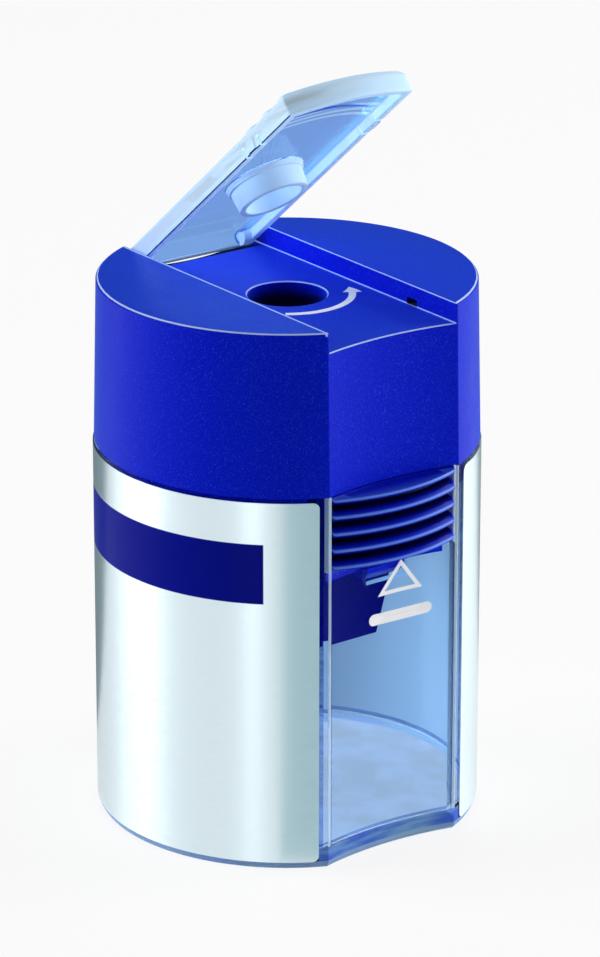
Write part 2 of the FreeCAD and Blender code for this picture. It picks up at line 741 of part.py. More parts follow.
def make_sharpener_body():
    """Metal wedge: conical bore, sloping blade seat, shavings window and screw hole."""
    body = new_body("sharpener_body")
    wedge = [
        ("-sharpener_half_width", "guide_foot"),
        ("-sharpener_tip_half_width", "sharpener_foot"),
        ("sharpener_tip_half_width", "sharpener_foot"),
        ("sharpener_half_width", "guide_foot"),
    ]
    pad(body, "wedge", draw(body, "wedge_outline", "XZ_Plane", [wedge], "sharpener_half_depth"),
        "2 * sharpener_half_depth", backwards=True)
    bore = [
        ("0", "guide_foot"),
        ("pencil_hole_radius", "guide_foot"),
        ("pencil_hole_radius", "guide_foot - bore_entry"),
        ("bore_tip_radius", "sharpener_foot"),
        ("0", "sharpener_foot"),
    ]
    turn(body, "Groove", "bore", draw(body, "bore_outline", "XZ_Plane", [bore]))
    below = "(sharpener_foot - blade_thickness)"
    beyond = "sharpener_half_depth + blade_thickness"
    seat = [
        (seat_line("seat_top"), "seat_top"),
        (beyond, "seat_top"),
        (beyond, below),
        (seat_line(below), below),
    ]
    across = "(sharpener_half_width + blade_thickness)"
    outline = draw(body, "seat_outline", "YZ_Plane", [seat], f"-{across}")
    pocket(body, "blade_seat", outline, f"2 * {across}", along=True)
    window = [
        (seat_line("seat_top") + " - shaving_cut_depth", "seat_top"),
        (beyond, "seat_top"),
        (beyond, below),
        (seat_line(below) + " - shaving_cut_depth", below),
    ]
    pocket(body, "shavings_window", draw(body, "window_outline", "YZ_Plane", [window]), across, along=True)
    into_seat = FreeCAD.Placement(FreeCAD.Vector(0, 0, -value("screw_reach")), FreeCAD.Rotation())
    primitive(body, "SubtractiveCylinder", "screw_hole", {
        "Radius": "screw_hole_radius",
        "Height": "screw_reach + blade_thickness",
    }, seat_frame() * into_seat)
    return body


def make_blade():
    """Blade: flat strip with a ground edge over the bore and a hole for its screw."""
    body = new_body("blade")
    heel = "blade_edge - blade_width"
    strip = rectangle(heel, "-blade_length / 2", "blade_edge", "blade_length / 2")
    hole = circle("0", "0", "blade_hole_radius")
    pad(body, "blade_strip", draw(body, "blade_plan", "XY_Plane", [strip, hole]), "blade_thickness")
    ground = [
        ("blade_edge", "0"),
        ("blade_edge", "blade_thickness"),
        ("blade_edge - blade_bevel", "blade_thickness"),
    ]
    outline = draw(body, "bevel_outline", "XZ_Plane", [ground], "-blade_length / 2")
    pocket(body, "ground_edge", outline, "blade_length", along=True)
    body.Placement = seat_frame()
    return body


def make_blade_screw():
    """Slotted round-head screw through the blade."""
    body = new_body("blade_screw")
    seat = "blade_thickness"
    top = "blade_thickness + screw_head_height"
    shank = [
        ("0", "screw_shank_gap - screw_reach"),
        ("screw_shank_radius", "screw_shank_gap - screw_reach"),
        ("screw_shank_radius", seat),
        ("screw_head_radius", seat),
        ("screw_head_radius", "blade_thickness + screw_head_height / 2"),
        ("screw_head_radius - screw_head_height / 2", top),
        ("0", top),
    ]
    turn(body, "Revolution", "screw_round", draw(body, "screw_outline", "XZ_Plane", [shank]))
    slot = rectangle("-screw_head_radius", "-screw_slot / 2", "screw_head_radius", "screw_slot / 2")
    pocket(body, "screw_slot_cut", draw(body, "screw_slot_plan", "XY_Plane", [slot], top), "screw_slot_depth")
    body.Placement = seat_frame()
    return body


def lid_outline(inset):
    """Return the lid's outline about its hinge, with a bowed front edge, moved in by an inset."""
    side = f"(lid_half_width - {inset})"
    rear = f"(lid_tail - {inset})"
    bow = f"(body_radius - {inset})"
    front = f"(-hinge_back - sqrt({bow}^2 - {side}^2))"
    return [(f"-{side}", front, bow, Turn.RIGHT), (side, front), (side, rear), (f"-{side}", rear)]


def make_lid():
    """Clear lid: shallow tray with a stopper, thumb ridges, snap tabs and hinge pins, stored open."""
    body = new_body("lid")
    pad(body, "lid_tray", draw(body, "lid_plan", "XY_Plane", [lid_outline("0")], "lid_rim"), "lid_height")
    top, tail, upright = value("hinge_drop"), value("lid_tail"), value("lid_height")
    ease(body, "Fillet", "lid_tail_edge", "lid_tail_round",
         lambda edge: lies_at(edge, top) and near(edge.BoundBox.YMin, tail))
    ease(body, "Fillet", "lid_corners", "lid_round", lambda edge: rises(edge, upright))
    room = draw(body, "lid_room_plan", "XY_Plane", [lid_outline("lid_wall")], "lid_rim")
    pocket(body, "lid_room", room, "lid_height - lid_plate", along=True)
    axis = ("0", "-hinge_back")
    flange = [circle(*axis, "plug_flange_radius"), circle(*axis, "plug_bore")]
    outline = draw(body, "plug_flange_plan", "XY_Plane", flange, "lid_under")
    pad(body, "plug_flange", outline, "plug_flange_height", backwards=True)
    plug = [circle(*axis, "plug_radius"), circle(*axis, "plug_bore")]
    pad(body, "plug", draw(body, "plug_plan", "XY_Plane", plug, "lid_under"), "plug_length", backwards=True)
    for index in range(int(value("ridge_count"))):
        add_ridge(body, index)
    for name, way in (("front", -1), ("rear", 1)):
        middle = f"({way} * (tab_length + tab_slot) / 2 - tab_middle)"
        slot_top = "lid_rim + tab_slot_depth"
        slit = rectangle(f"{middle} - tab_slot / 2", "lid_rim", f"{middle} + tab_slot / 2", slot_top)
        outline = draw(body, name + "_slot_outline", "YZ_Plane", [slit], "-lid_half_width")
        pocket(body, name + "_tab_slots", outline, "2 * lid_half_width", along=True)
    for name, side in (("right", 1), ("left", -1)):
        add_side_fittings(body, name, side)
    hinge = FreeCAD.Vector(0, value("hinge_back"), value("hinge_height"))
    opening = FreeCAD.Rotation(FreeCAD.Vector(-1, 0, 0), value("lid_open_angle"))
    body.Placement = FreeCAD.Placement(hinge, opening)
    return body


def add_side_fittings(body, name, side):
    """Add one side's snap nub, hinge boss and hinge pin to the lid."""
    inside = "(lid_half_width - lid_wall / 2)"
    inner_face = "(lid_half_width - lid_wall - hinge_boss_length)"
    nub_front, nub_rear = "-tab_middle - nub_length / 2", "nub_length / 2 - tab_middle"
    nub = rectangle(nub_front, "lid_rim", nub_rear, "lid_rim + nub_height")
    boss = circle("0", "0", "hinge_boss_radius")
    pin = circle("0", "0", "hinge_pin_radius")
    for fitting, loop, start, length in (
        ("nub", nub, inside, "lid_wall / 2 + nub_reach"),
        ("hinge_boss", boss, inner_face, "hinge_boss_length + lid_wall / 2"),
        ("hinge_pin", pin, inside, f"hinge_pin_reach - {inside}"),
    ):
        outline = draw(body, f"{name}_{fitting}_outline", "YZ_Plane", [loop], f"{side} * {start}")
        pad(body, f"{name}_{fitting}", outline, length, backwards=side < 0)


def add_ridge(body, index):
    """Add one bevelled thumb ridge, bowed like the lid's front edge."""
    name = f"thumb_ridge_{index + 1}"
    side = "(lid_half_width - ridge_end_gap)"
    outer = f"(body_radius - {index} * ridge_pitch)"
    inner = f"({outer} - ridge_width)"
    front = f"(-hinge_back - sqrt({outer}^2 - {side}^2))"
    rear = f"(-hinge_back - sqrt({inner}^2 - {side}^2))"
    strip = [
        (f"-{side}", front, outer, Turn.RIGHT),
        (side, front),
        (side, rear, inner, Turn.LEFT),
        (f"-{side}", rear),
    ]
    pad(body, name, draw(body, name + "_plan", "XY_Plane", [strip], "hinge_drop"), "ridge_height")
    top, crown = value("hinge_drop + ridge_height"), value(f"-hinge_back - {outer}")
    ease(body, "Chamfer", name + "_bevel", "ridge_bevel",
         lambda edge: lies_at(edge, top) and spans(edge, crown))


def check_and_write(bodies):
    """Refuse a failed object or an invalid shape, then write one file for each sub-part."""
    doc.recompute()
    failed = [item.Name for item in doc.Objects if {"Invalid", "Error"} & set(item.State)]
    if failed:
        raise ValueError("failed objects: " + ", ".join(failed))
    for body in bodies:
        if body.Shape.isNull() or not body.Shape.isValid() or len(body.Shape.Solids) != 1:
            raise ValueError(f"{body.Label} is not one valid solid")
    os.makedirs("parts", exist_ok=True)
    for body in bodies:
        body.Shape.exportStep(f"parts/{body.Label}.step")
        print(f"{body.Label}: {body.Shape.Volume:.1f} mm3, {len(body.Shape.Faces)} faces")


check_and_write([
    make_tub(),
    make_label("label_left", -1),
    make_label("label_right", 1),
    make_head_cover(),
    make_press_tongue(),
    make_sharpener_holder(),
    make_sharpener_body(),
    make_blade(),
    make_blade_screw(),
    make_lid(),
])
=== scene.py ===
import logging
import math
from dataclasses import dataclass, field
from enum import Enum
from typing import Any, Sequence

import bmesh
import bpy
import numpy as np
from bpy.types import ID, Material, Mesh, Node, NodeSocket, NodeTree, Object, World
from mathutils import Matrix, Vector


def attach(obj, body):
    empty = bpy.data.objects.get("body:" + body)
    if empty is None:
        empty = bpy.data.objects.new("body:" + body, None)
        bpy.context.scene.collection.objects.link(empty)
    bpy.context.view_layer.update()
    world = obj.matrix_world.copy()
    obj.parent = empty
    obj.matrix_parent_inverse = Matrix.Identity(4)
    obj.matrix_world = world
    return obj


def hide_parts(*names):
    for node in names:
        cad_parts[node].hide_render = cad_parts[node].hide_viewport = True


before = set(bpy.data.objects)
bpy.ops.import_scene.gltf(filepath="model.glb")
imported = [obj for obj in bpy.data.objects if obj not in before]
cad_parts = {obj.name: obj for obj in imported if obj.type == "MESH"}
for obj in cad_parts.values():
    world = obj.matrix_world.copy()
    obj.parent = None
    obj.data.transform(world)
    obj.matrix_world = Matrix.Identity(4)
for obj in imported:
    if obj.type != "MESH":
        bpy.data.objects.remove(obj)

# Looks of a hand-held tub pencil sharpener: blue head, clear tub and lid, silver labels.
# Everything is in metres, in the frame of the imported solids: +Z up, origin at the centre of the base,
# press tongue towards -Y.

log = logging.getLogger("tub_sharpener")

MM = 0.001
WELD = 1e-7  # points closer than this become one
SLACK = 1e-9  # allowed between positions that should be equal
CREASE = 35.0  # edges bent by more degrees than this stay sharp
BEND_STEPS = 6  # points on a small corner arc
UPRIGHT = 0.5  # upright faces have normals with less Z than this
SQUARE = 0.9  # faces square to an axis have normals with more of it than this
PHOTO_WIDTH = 600
PHOTO_HEIGHT = 957
DEPTH_AND_PAINTED_LINES = "depth"
RIB_LIGHT_AND_SHADE = "rib_light_and_shade"
FLOAT = "NodeSocketFloat"
VECTOR = "NodeSocketVector"

Pair = tuple[float, float]
Colour = tuple[float, float, float]
Inputs = dict[str | int, Any]


class Body(str, Enum):
    """The rigid bodies that pieces ride on."""

    TUB = "tub"
    HEAD = "head"
    TONGUE = "tongue"
    LID = "lid"


class Slot(str, Enum):
    """The record's material slots."""

    CLEAR = "clear_plastic"
    CLEAR_LID = "clear_lid_plastic"
    FOIL = "silver_foil"
    BLUE = "blue_plastic"
    INNER = "inner_plastic"
    ALLOY = "light_alloy"
    STEEL = "blade_steel"


def rgba(colour: Colour) -> tuple[float, float, float, float]:
    """Return an opaque colour with its alpha."""
    return (*colour, 1.0)


def dimmed(colour: Colour, share: float) -> Colour:
    """Return a colour with its brightness brought down to a share."""
    return tuple(share * part for part in colour)


class Bench:
    """Adds nodes to one shader tree and links them."""

    def __init__(self, tree: NodeTree) -> None:
        """Take the tree of a material, a world or a group."""
        self.tree = tree

    def fill(self, node: Node, inputs: Inputs) -> Node:
        """Set or link a node's inputs.

        Args:
            node: The node.
            inputs: Input name or index, to a plain value or to an output socket that feeds it.

        Returns:
            The node.
        """
        for name, value in inputs.items():
            if isinstance(value, NodeSocket):
                self.tree.links.new(value, node.inputs[name])
            else:
                node.inputs[name].default_value = value
        return node

    def add(self, kind: str, inputs: Inputs | None = None, **settings: Any) -> Node:
        """Add a node, set its properties, and set or link its inputs.

        Args:
            kind: The node's type without its ShaderNode prefix.
            inputs: As for fill.
            **settings: Properties of the node itself.

        Returns:
            The new node.
        """
        node = self.tree.nodes.new("ShaderNode" + kind)
        for name, value in settings.items():
            setattr(node, name, value)
        return self.fill(node, inputs or {})

    def group(self, tree: NodeTree, inputs: Inputs) -> Any:
        """Place a node group with its own inputs, and return its outputs."""
        return self.add("Group", inputs, node_tree=tree).outputs

    def math(self, operation: str, *values: Any) -> NodeSocket:
        """Return the result of Math nodes that join the values in order, or of one that takes one value.

        Args:
            operation: The nodes' operation.
            *values: Plain values or output sockets.

        Returns:
            The last node's result.
        """
        result = values[0]
        for value in values[1:] or (0.0,):
            result = self.add("Math", {0: result, 1: value}, operation=operation).outputs[0]
        return result

    def length(self, x: Any, y: Any) -> NodeSocket:
        """Return the length of a vector in a plane."""
        flat = self.add("CombineXYZ", {0: x, 1: y}).outputs[0]
        return self.add("VectorMath", {0: flat}, operation="LENGTH").outputs["Value"]

    def step(self, value: Any, low: float, high: float) -> NodeSocket:
        """Return a soft step of a value: 0 at low, 1 at high, clamped."""
        inputs = {"Value": value, "From Min": low, "From Max": high}
        return self.add("MapRange", inputs, interpolation_type="SMOOTHSTEP").outputs[0]

    def band(self, value: Any, low: float, high: float, soft: float) -> NodeSocket:
        """Return 1 where a value lies between two limits, fading out over a soft margin beyond them."""
        return self.math("MULTIPLY", self.step(value, low - soft, low), self.step(value, high + soft, high))

    def spread(self, value: Any, limits: Pair) -> NodeSocket:
        """Return a value from 0 to 1 spread between two limits."""
        return self.add("MapRange", {"Value": value, "To Min": limits[0], "To Max": limits[1]}).outputs[0]

    def blend(self, share: Any, first: Any, second: Any) -> NodeSocket:
        """Return a mix of two colours or colour sockets: the first at share 0, the second at 1."""
        first, second = (rgba(end) if isinstance(end, tuple) else end for end in (first, second))
        return self.add("Mix", {0: share, 6: first, 7: second}, data_type="RGBA").outputs[2]


def cleared(block: Material | World) -> Bench:
    """Empty the node tree of a material or a world.

    Args:
        block: The material or the world.

    Returns:
        A bench on its tree.
    """
    block.use_nodes = True
    block.node_tree.nodes.clear()
    return Bench(block.node_tree)


def new_group(name: str, inputs: dict[str, str], *outputs: str) -> tuple[Bench, Any, Node]:
    """Start a shader node group with named sockets.

    Args:
        name: The group's name.
        inputs: Input name to socket type.
        *outputs: Names of the outputs, which are plain values.

    Returns:
        A bench on the group's tree, the sockets that bring its inputs, and its output node.
    """
    tree = bpy.data.node_groups.new(name, "ShaderNodeTree")
    for way, sockets in (("INPUT", inputs), ("OUTPUT", dict.fromkeys(outputs, FLOAT))):
        for title, kind in sockets.items():
            tree.interface.new_socket(title, in_out=way, socket_type=kind)
    return Bench(tree), tree.nodes.new("NodeGroupInput").outputs, tree.nodes.new("NodeGroupOutput")


@dataclass(frozen=True)
class ChannelLightAndShade:
    """Painted light and shade of the lid's channel in the head: painted highlight lines along its sides, and
    painted shade in its hollows.

    A pair is a band's lower and upper limit, or where a step is 0 and where it is 1.
    """

    lip_x: Pair = (-8.36 * MM, -8.18 * MM)  # the painted highlight line on the left lip
    lip_z: Pair = (57.4 * MM, 57.5 * MM)  # the step up to the lip's height
    floor_x: Pair = (7.84 * MM, 7.97 * MM)  # the painted highlight lines on the floor, on both sides
    floor_z: Pair = (55.6 * MM, 55.72 * MM)  # the heights of those lines
    line_soft: float = 0.03 * MM  # margin beside a painted highlight line
    level_soft: float = 0.02 * MM  # margin over and under a level band
    hole_radius: Pair = (4.4 * MM, 4.2 * MM)  # the step into the painted shade of the pencil hole
    hole_z: Pair = (55.5 * MM, 53.8 * MM)  # the step down to its painted shade, from a little under the floor
    hinge: Pair = (16.362 * MM, 56.55 * MM)  # Y and Z of the hinge axis
    trough_radius: Pair = (1.8 * MM, 1.72 * MM)  # the step into the painted shade of the trough round that axis
    trough_x: Pair = (7.98 * MM, 7.9 * MM)  # the step in from the trough's ends
    catch_x: Pair = (8.05 * MM, 9.6 * MM)  # the catch holes, filled with painted shade, on both sides
    catch_y: Pair = (-11.8 * MM, -9.4 * MM)  # their reach along the channel
    catch_z: Pair = (55.5 * MM, 56.8 * MM)  # their heights
    catch_soft: float = 0.05 * MM  # margin round them
    rim_bevel: Pair = (57.4 * MM, 57.66 * MM)  # the lower part of the rim's bevel, which gets no painted edge highlight
    floor_bevel: Pair = (55.3 * MM, 55.53 * MM)  # the lower part of the floor's bevel, likewise

    def build(self) -> NodeTree:
        """Build the group, with the masks of the painted highlight lines, of the painted shade and of the
        bevels without painted edge highlight.
        """
        bench, given, result = new_group("channel_light_and_shade", {"Vector": VECTOR}, "Line", "Shade", "Plain")
        x, y, z = bench.add("SeparateXYZ", {0: given["Vector"]}).outputs
        side = bench.math("ABSOLUTE", x)
        on_lip = bench.math("MULTIPLY", bench.band(x, *self.lip_x, self.line_soft),
                            bench.step(z, *self.lip_z))
        on_floor = bench.math("MULTIPLY", bench.band(side, *self.floor_x, self.line_soft),
                              bench.band(z, *self.floor_z, self.level_soft))
        hole = bench.math("MULTIPLY", bench.step(bench.length(x, y), *self.hole_radius),
                          bench.step(z, *self.hole_z))
        swing = bench.length(*(bench.math("SUBTRACT", *ends) for ends in zip((y, z), self.hinge)))
        trough = bench.math("MULTIPLY", bench.step(swing, *self.trough_radius),
                            bench.step(side, *self.trough_x))
        limits = zip((side, y, z), (self.catch_x, self.catch_y, self.catch_z))
        catch = bench.math("MULTIPLY", *(bench.band(axis, *ends, self.catch_soft) for axis, ends in limits))
        plain = (bench.band(z, *bevel, self.level_soft) for bevel in (self.rim_bevel, self.floor_bevel))
        bench.fill(result, {"Line": bench.math("MAXIMUM", on_lip, on_floor),
                            "Shade": bench.math("MAXIMUM", hole, trough, catch),
                            "Plain": bench.math("MAXIMUM", *plain)})
        return bench.tree


class Effects:
    """The shader groups that the finishes use, built once."""

    EDGE_OVER: Pair = (0.3, 0.5)  # upward part of a normal where the painted highlight on an eased edge begins and is full
    EDGE_UNDER: Pair = (0.92, 0.8)  # the same from its upper side
    PIT_SMOOTHNESS = 0.6
    ROUGH_SHARE = 0.8  # cells of the fine noise to those of the pits
    FLECKS: Pair = (0.52, 0.72)  # noise where a fleck begins and is full
    DRIFT: Pair = (0.3, 0.7)  # noise that becomes 0 and 1
    LINES: Pair = (0.35, 0.65)  # likewise

    def __init__(self) -> None:
        """Build the groups."""
        self.grain = self._grain()
        self.drift = self._drift()
        self.hairlines = self._hairlines()
        # painted highlights on the eased edges
        self.edges = self._edge_highlights()
        self.channel = ChannelLightAndShade().build()

    @staticmethod
    def _edge_highlights() -> NodeTree:
        """Painted edge highlights: 1 on the eased edges, whose normals lie between level and upright."""
        bench, given, result = new_group("painted_edge_highlights", {"Normal": VECTOR}, "Edge")
        upward = bench.add("SeparateXYZ", {0: given["Normal"]}).outputs["Z"]
        limits = (Effects.EDGE_OVER, Effects.EDGE_UNDER)
        bench.fill(result, {"Edge": bench.math("MULTIPLY", *(bench.step(upward, *ends) for ends in limits))})
        return bench.tree

    @staticmethod
    def _grain() -> NodeTree:
        """Spark-eroded mould grain: a height of small rounded pits, and paler flecks from its fine noise,
        partly painted glints.
        """
        bench, given, result = new_group(
            "mould_grain", {"Vector": VECTOR, "Cells": FLOAT}, "Height", "Flecks")
        vector, cells = given["Vector"], given["Cells"]
        pits = bench.add("TexVoronoi", {"Vector": vector, "Scale": cells}, feature="SMOOTH_F1")
        bench.fill(pits, {"Smoothness": Effects.PIT_SMOOTHNESS})
        finer = bench.math("MULTIPLY", cells, Effects.ROUGH_SHARE)
        rough = bench.add("TexNoise", {"Vector": vector, "Scale": finer, "Detail": 3.0}).outputs[0]
        height = bench.math("ADD", pits.outputs["Distance"], rough)
        bench.fill(result, {"Height": bench.math("MULTIPLY", height, 0.5),
                            "Flecks": bench.step(rough, *Effects.FLECKS)})
        return bench.tree

    @staticmethod
    def _drift() -> NodeTree:
        """Slow uneven drift over a moulding, as flow and handling leave, from 0 to 1."""
        bench, given, result = new_group("flow_drift", {"Vector": VECTOR, "Patches": FLOAT}, "Drift")
        noise = bench.add("TexNoise", {"Vector": given["Vector"], "Scale": given["Patches"], "Detail": 4.0})
        bench.fill(result, {"Drift": bench.step(noise.outputs[0], *Effects.DRIFT)})
        return bench.tree

    @staticmethod
    def _hairlines() -> NodeTree:
        """Fine parallel lines of rolling or grinding: noise drawn out along one direction."""
        bench, given, result = new_group(
            "hairlines", {"Vector": VECTOR, "Stretch": VECTOR}, "Height", "Lines")
        scaled = bench.add("VectorMath", {0: given["Vector"], 1: given["Stretch"]}, operation="MULTIPLY")
        noise = bench.add("TexNoise", {"Vector": scaled.outputs[0], "Scale": 1.0, "Detail": 5.0}).outputs[0]
        bench.fill(result, {"Height": noise, "Lines": bench.step(noise, *Effects.LINES)})
        return bench.tree


@dataclass(frozen=True)
class Finish:
    """A finish that becomes one material."""

    name: str  # the material's name

    def material(self, effects: Effects) -> Material:
        """Build the material.

        Args:
            effects: The shared shader groups.

        Returns:
            The material.
        """
        material = bpy.data.materials.new(self.name)
        bench = cleared(material)
        shader = bench.add("BsdfPrincipled")
        shown = self.paint(bench, shader, bench.add("TexCoord").outputs["Object"], effects)
        bench.add("OutputMaterial", {"Surface": shown.outputs[0]})
        return material

    def paint(self, bench: Bench, shader: Node, spot: NodeSocket,
              effects: Effects) -> Node:
        """Set up the material's shader.

        Args:
            bench: The bench on the material's tree.
            shader: Its Principled node.
            spot: Object coordinates.
            effects: The shared shader groups.

        Returns:
            The shader node that the material shows.
        """
        raise NotImplementedError


@dataclass(frozen=True)
class MouldedPlastic(Finish):
    """Opaque moulding with a fine grain."""

    deep: Colour  # colour in the hollows of the grain
    pale: Colour  # colour of the flecks: a random paler tone that also serves as painted glints on the grain
    roughness: Pair  # lowest and highest roughness
    cells: float  # grain cells to the metre
    depth: float  # depth of the grain, in metres
    fleck: float  # share of the pale colour in a fleck
    edge: Colour = (0.55, 0.70, 1.0)  # colour of the painted highlights on eased edges, on the channel's lines and on rib crowns
    highlight_share: float = 0.0  # share of that colour on them
    gloss: Colour = (0.15, 0.55, 1.0)  # tint of the reflected light
    ior: float = 1.22  # index of refraction
    sheen: float = 0.0  # weight of the soft sheen that the grain gives towards the outline
    sheen_roughness: float = 0.35  # roughness of that sheen
    channel: bool = False  # whether the piece has the lid's channel, with painted highlight lines and painted shade in its hollows
    # whether the piece carries the ribs' painted light and shade: 0 for painted shade in valleys, half on
    # flanks, 1 for a painted highlight on crowns
    ribbed: bool = False
    crown: Pair = (0.55, 1.0)  # value where the painted highlight line on a rib begins and is full
    valley: Pair = (0.45, 0.05)  # value where the painted shade under it begins and is full
    shadow: float = 0.06  # brightness of the deep colour in shaded hollows
    patches: float = 90.0  # patches of uneven roughness to the metre

    def paint(self, bench: Bench, shader: Node, spot: NodeSocket,
              effects: Effects) -> Node:
        """Set up the shader: grain, painted highlights on eased edges, and the painted highlights and painted
        shade of the channel or of the ribs.

        Args:
            bench: The bench on the material's tree.
            shader: Its Principled node.
            spot: Object coordinates.
            effects: The shared shader groups.

        Returns:
            The shader node that the material shows.
        """
        grain = bench.group(effects.grain, {"Vector": spot, "Cells": self.cells})
        drift = bench.group(effects.drift, {"Vector": spot, "Patches": self.patches})
        colour = bench.blend(bench.math("MULTIPLY", grain["Flecks"], self.fleck), self.deep, self.pale)
        shadow = dimmed(self.deep, self.shadow)
        # painted highlights on the eased edges, picked by how far the normal tilts
        edges = bench.group(effects.edges, {"Normal": bench.add("TexCoord").outputs["Normal"]})["Edge"]
        # painted highlight lines along the channel and painted shade in its hollows; its bevels lose the
        # painted edge highlight
        if self.channel:
            channel_paint = bench.group(effects.channel, {"Vector": spot})
            edges = bench.math("MULTIPLY", edges, bench.math("SUBTRACT", 1.0, channel_paint["Plain"]))
            edges = bench.math("MAXIMUM", edges, channel_paint["Line"])
            colour = bench.blend(channel_paint["Shade"], colour, shadow)
        # painted highlight lines on the rib crowns, painted shade in the valleys
        if self.ribbed:
            rib_light_and_shade = bench.add("Attribute", attribute_name=RIB_LIGHT_AND_SHADE).outputs["Fac"]
            edges = bench.step(rib_light_and_shade, *self.crown)
            colour = bench.blend(bench.step(rib_light_and_shade, *self.valley), colour, shadow)
        bump = bench.add("Bump", {"Height": grain["Height"], "Distance": self.depth, "Strength": 1.0})
        # the base colour carries the painted highlights at their share
        return bench.fill(shader, {
            "Base Color": bench.blend(bench.math("MULTIPLY", edges, self.highlight_share), colour, self.edge),
            "Roughness": bench.spread(drift["Drift"], self.roughness), "Normal": bump.outputs[0],
            "IOR": self.ior, "Specular Tint": rgba(self.gloss), "Sheen Weight": self.sheen,
            "Sheen Roughness": self.sheen_roughness, "Sheen Tint": rgba(self.gloss)})


@dataclass(frozen=True)
class ClearPlastic(Finish):
    """See-through moulding with a blue tint, which lets the lamps light what is behind it.

    Where the piece's depth attribute is 1, light passes more plastic, and the tint is deeper. The same
    attribute also lays painted dark lines in the deep colour.
    """

    tint: Colour  # colour of light that has passed one wall
    deep: Colour  # colour where there is more plastic, and of the painted dark lines
    vein: Colour  # colour of the flow streaks there; in the base, pale ones that are also painted glints
    streak: float  # share of the streaks
    clearness: float  # share of the light that passes, not scattered
    roughness: Pair  # lowest and highest roughness
    ior: float  # index of refraction
    shade: Colour = (0.92, 0.96, 1.0)  # tint of the light that lamps send through
    gloss: Colour = (0.4, 0.6, 1.0)  # tint of the reflected light
    patches: float = 120.0  # patches of uneven roughness to the metre
    stretch: Colour = (170.0, 170.0, 1100.0)  # streaks to the metre along X, Y and Z

    def paint(self, bench: Bench, shader: Node, spot: NodeSocket,
              effects: Effects) -> Node:
        """Set up the shader: a tint that deepens with flow streaks, and clear to the lamps' light.

        Args:
            bench: The bench on the material's tree.
            shader: Its Principled node.
            spot: Object coordinates.
            effects: The shared shader groups.

        Returns:
            The shader node that the material shows.
        """
        drift = bench.group(effects.drift, {"Vector": spot, "Patches": self.patches})
        lines = bench.group(effects.hairlines, {"Vector": spot, "Stretch": self.stretch})
        thick = bench.blend(bench.math("MULTIPLY", lines["Lines"], self.streak), self.deep, self.vein)
        # tint depth, with the painted dark lines
        depth = bench.add("Attribute", attribute_name=DEPTH_AND_PAINTED_LINES).outputs["Fac"]
        bench.fill(shader, {
            "Base Color": bench.blend(depth, self.tint, thick),
            "Roughness": bench.spread(drift["Drift"], self.roughness),
            "Transmission Weight": self.clearness, "IOR": self.ior, "Specular Tint": rgba(self.gloss)})
        clear = bench.add("BsdfTransparent", {"Color": rgba(self.shade)})
        to_lamp = bench.add("LightPath").outputs["Is Shadow Ray"]
        return bench.add("MixShader", {0: to_lamp, 1: shader.outputs[0], 2: clear.outputs[0]})


@dataclass(frozen=True)
class SilverFoil(Finish):
    """Silver label film, with an optional printed stripe."""

    silver: Colour  # colour of the film
    roughness: Pair  # lowest and highest roughness
    ink: Colour  # colour of the stripe
    stripe: Pair | None  # lowest and highest height of the stripe, in metres, or None for a plain label
    stripe_end: float  # the stripe covers the label where X lies below this, in metres
    stripe_soft: float = 0.05 * MM  # how far the stripe's edges fade to each side
    backing: Colour = (0.95, 0.97, 1.0)  # colour of the side that is glued to the tub
    inward: Pair = (1.0 * MM, -1.0 * MM)  # normal times position where that side begins and is full
    lines: float = 0.985  # brightness of the film in its rolling lines
    stretch: Colour = (600.0, 600.0, 9000.0)  # such lines to the metre along X, Y and Z
    ior: float = 1.12  # index of refraction of the stripe and the backing
    drawn_out: float = 0.85  # how far reflections are drawn out across the rolling lines
    drawn_turn: float = 0.25  # their direction, as a share of a full turn from the level round the axis

    def paint(self, bench: Bench, shader: Node, spot: NodeSocket,
              effects: Effects) -> Node:
        """Set up the shader: rolled metal outside, with the stripe's ink, and the backing inside.

        Args:
            bench: The bench on the material's tree.
            shader: Its Principled node.
            spot: Object coordinates.
            effects: The shared shader groups.

        Returns:
            The shader node that the material shows.
        """
        lines = bench.group(effects.hairlines, {"Vector": spot, "Stretch": self.stretch})["Lines"]
        outward = bench.add("VectorMath", {0: bench.add("NewGeometry").outputs["Normal"], 1: spot},
                            operation="DOT_PRODUCT")
        back = bench.step(outward.outputs["Value"], *self.inward)
        ink = self.ink_mask(bench, spot) if self.stripe else 0.0
        printed = bench.blend(ink, bench.blend(lines, self.silver, dimmed(self.silver, self.lines)), self.ink)
        return bench.fill(shader, {
            "Base Color": bench.blend(back, printed, self.backing),
            "Roughness": bench.spread(lines, self.roughness),
            "Metallic": bench.math("SUBTRACT", 1.0, bench.math("MAXIMUM", ink, back)),
            "IOR": self.ior, "Anisotropic": self.drawn_out, "Anisotropic Rotation": self.drawn_turn,
            "Tangent": bench.add("Tangent", direction_type="RADIAL", axis="Z").outputs[0]})

    def ink_mask(self, bench: Bench, spot: NodeSocket) -> NodeSocket:
        """Return the stripe's mask: inside its heights, and beyond its end."""
        axes = bench.add("SeparateXYZ", {0: spot}).outputs
        soft = self.stripe_soft
        level = bench.band(axes["Z"], self.stripe[0] + soft, self.stripe[1] - soft, 2 * soft)
        return bench.math("MULTIPLY", level,
                          bench.step(axes["X"], self.stripe_end + soft, self.stripe_end - soft))


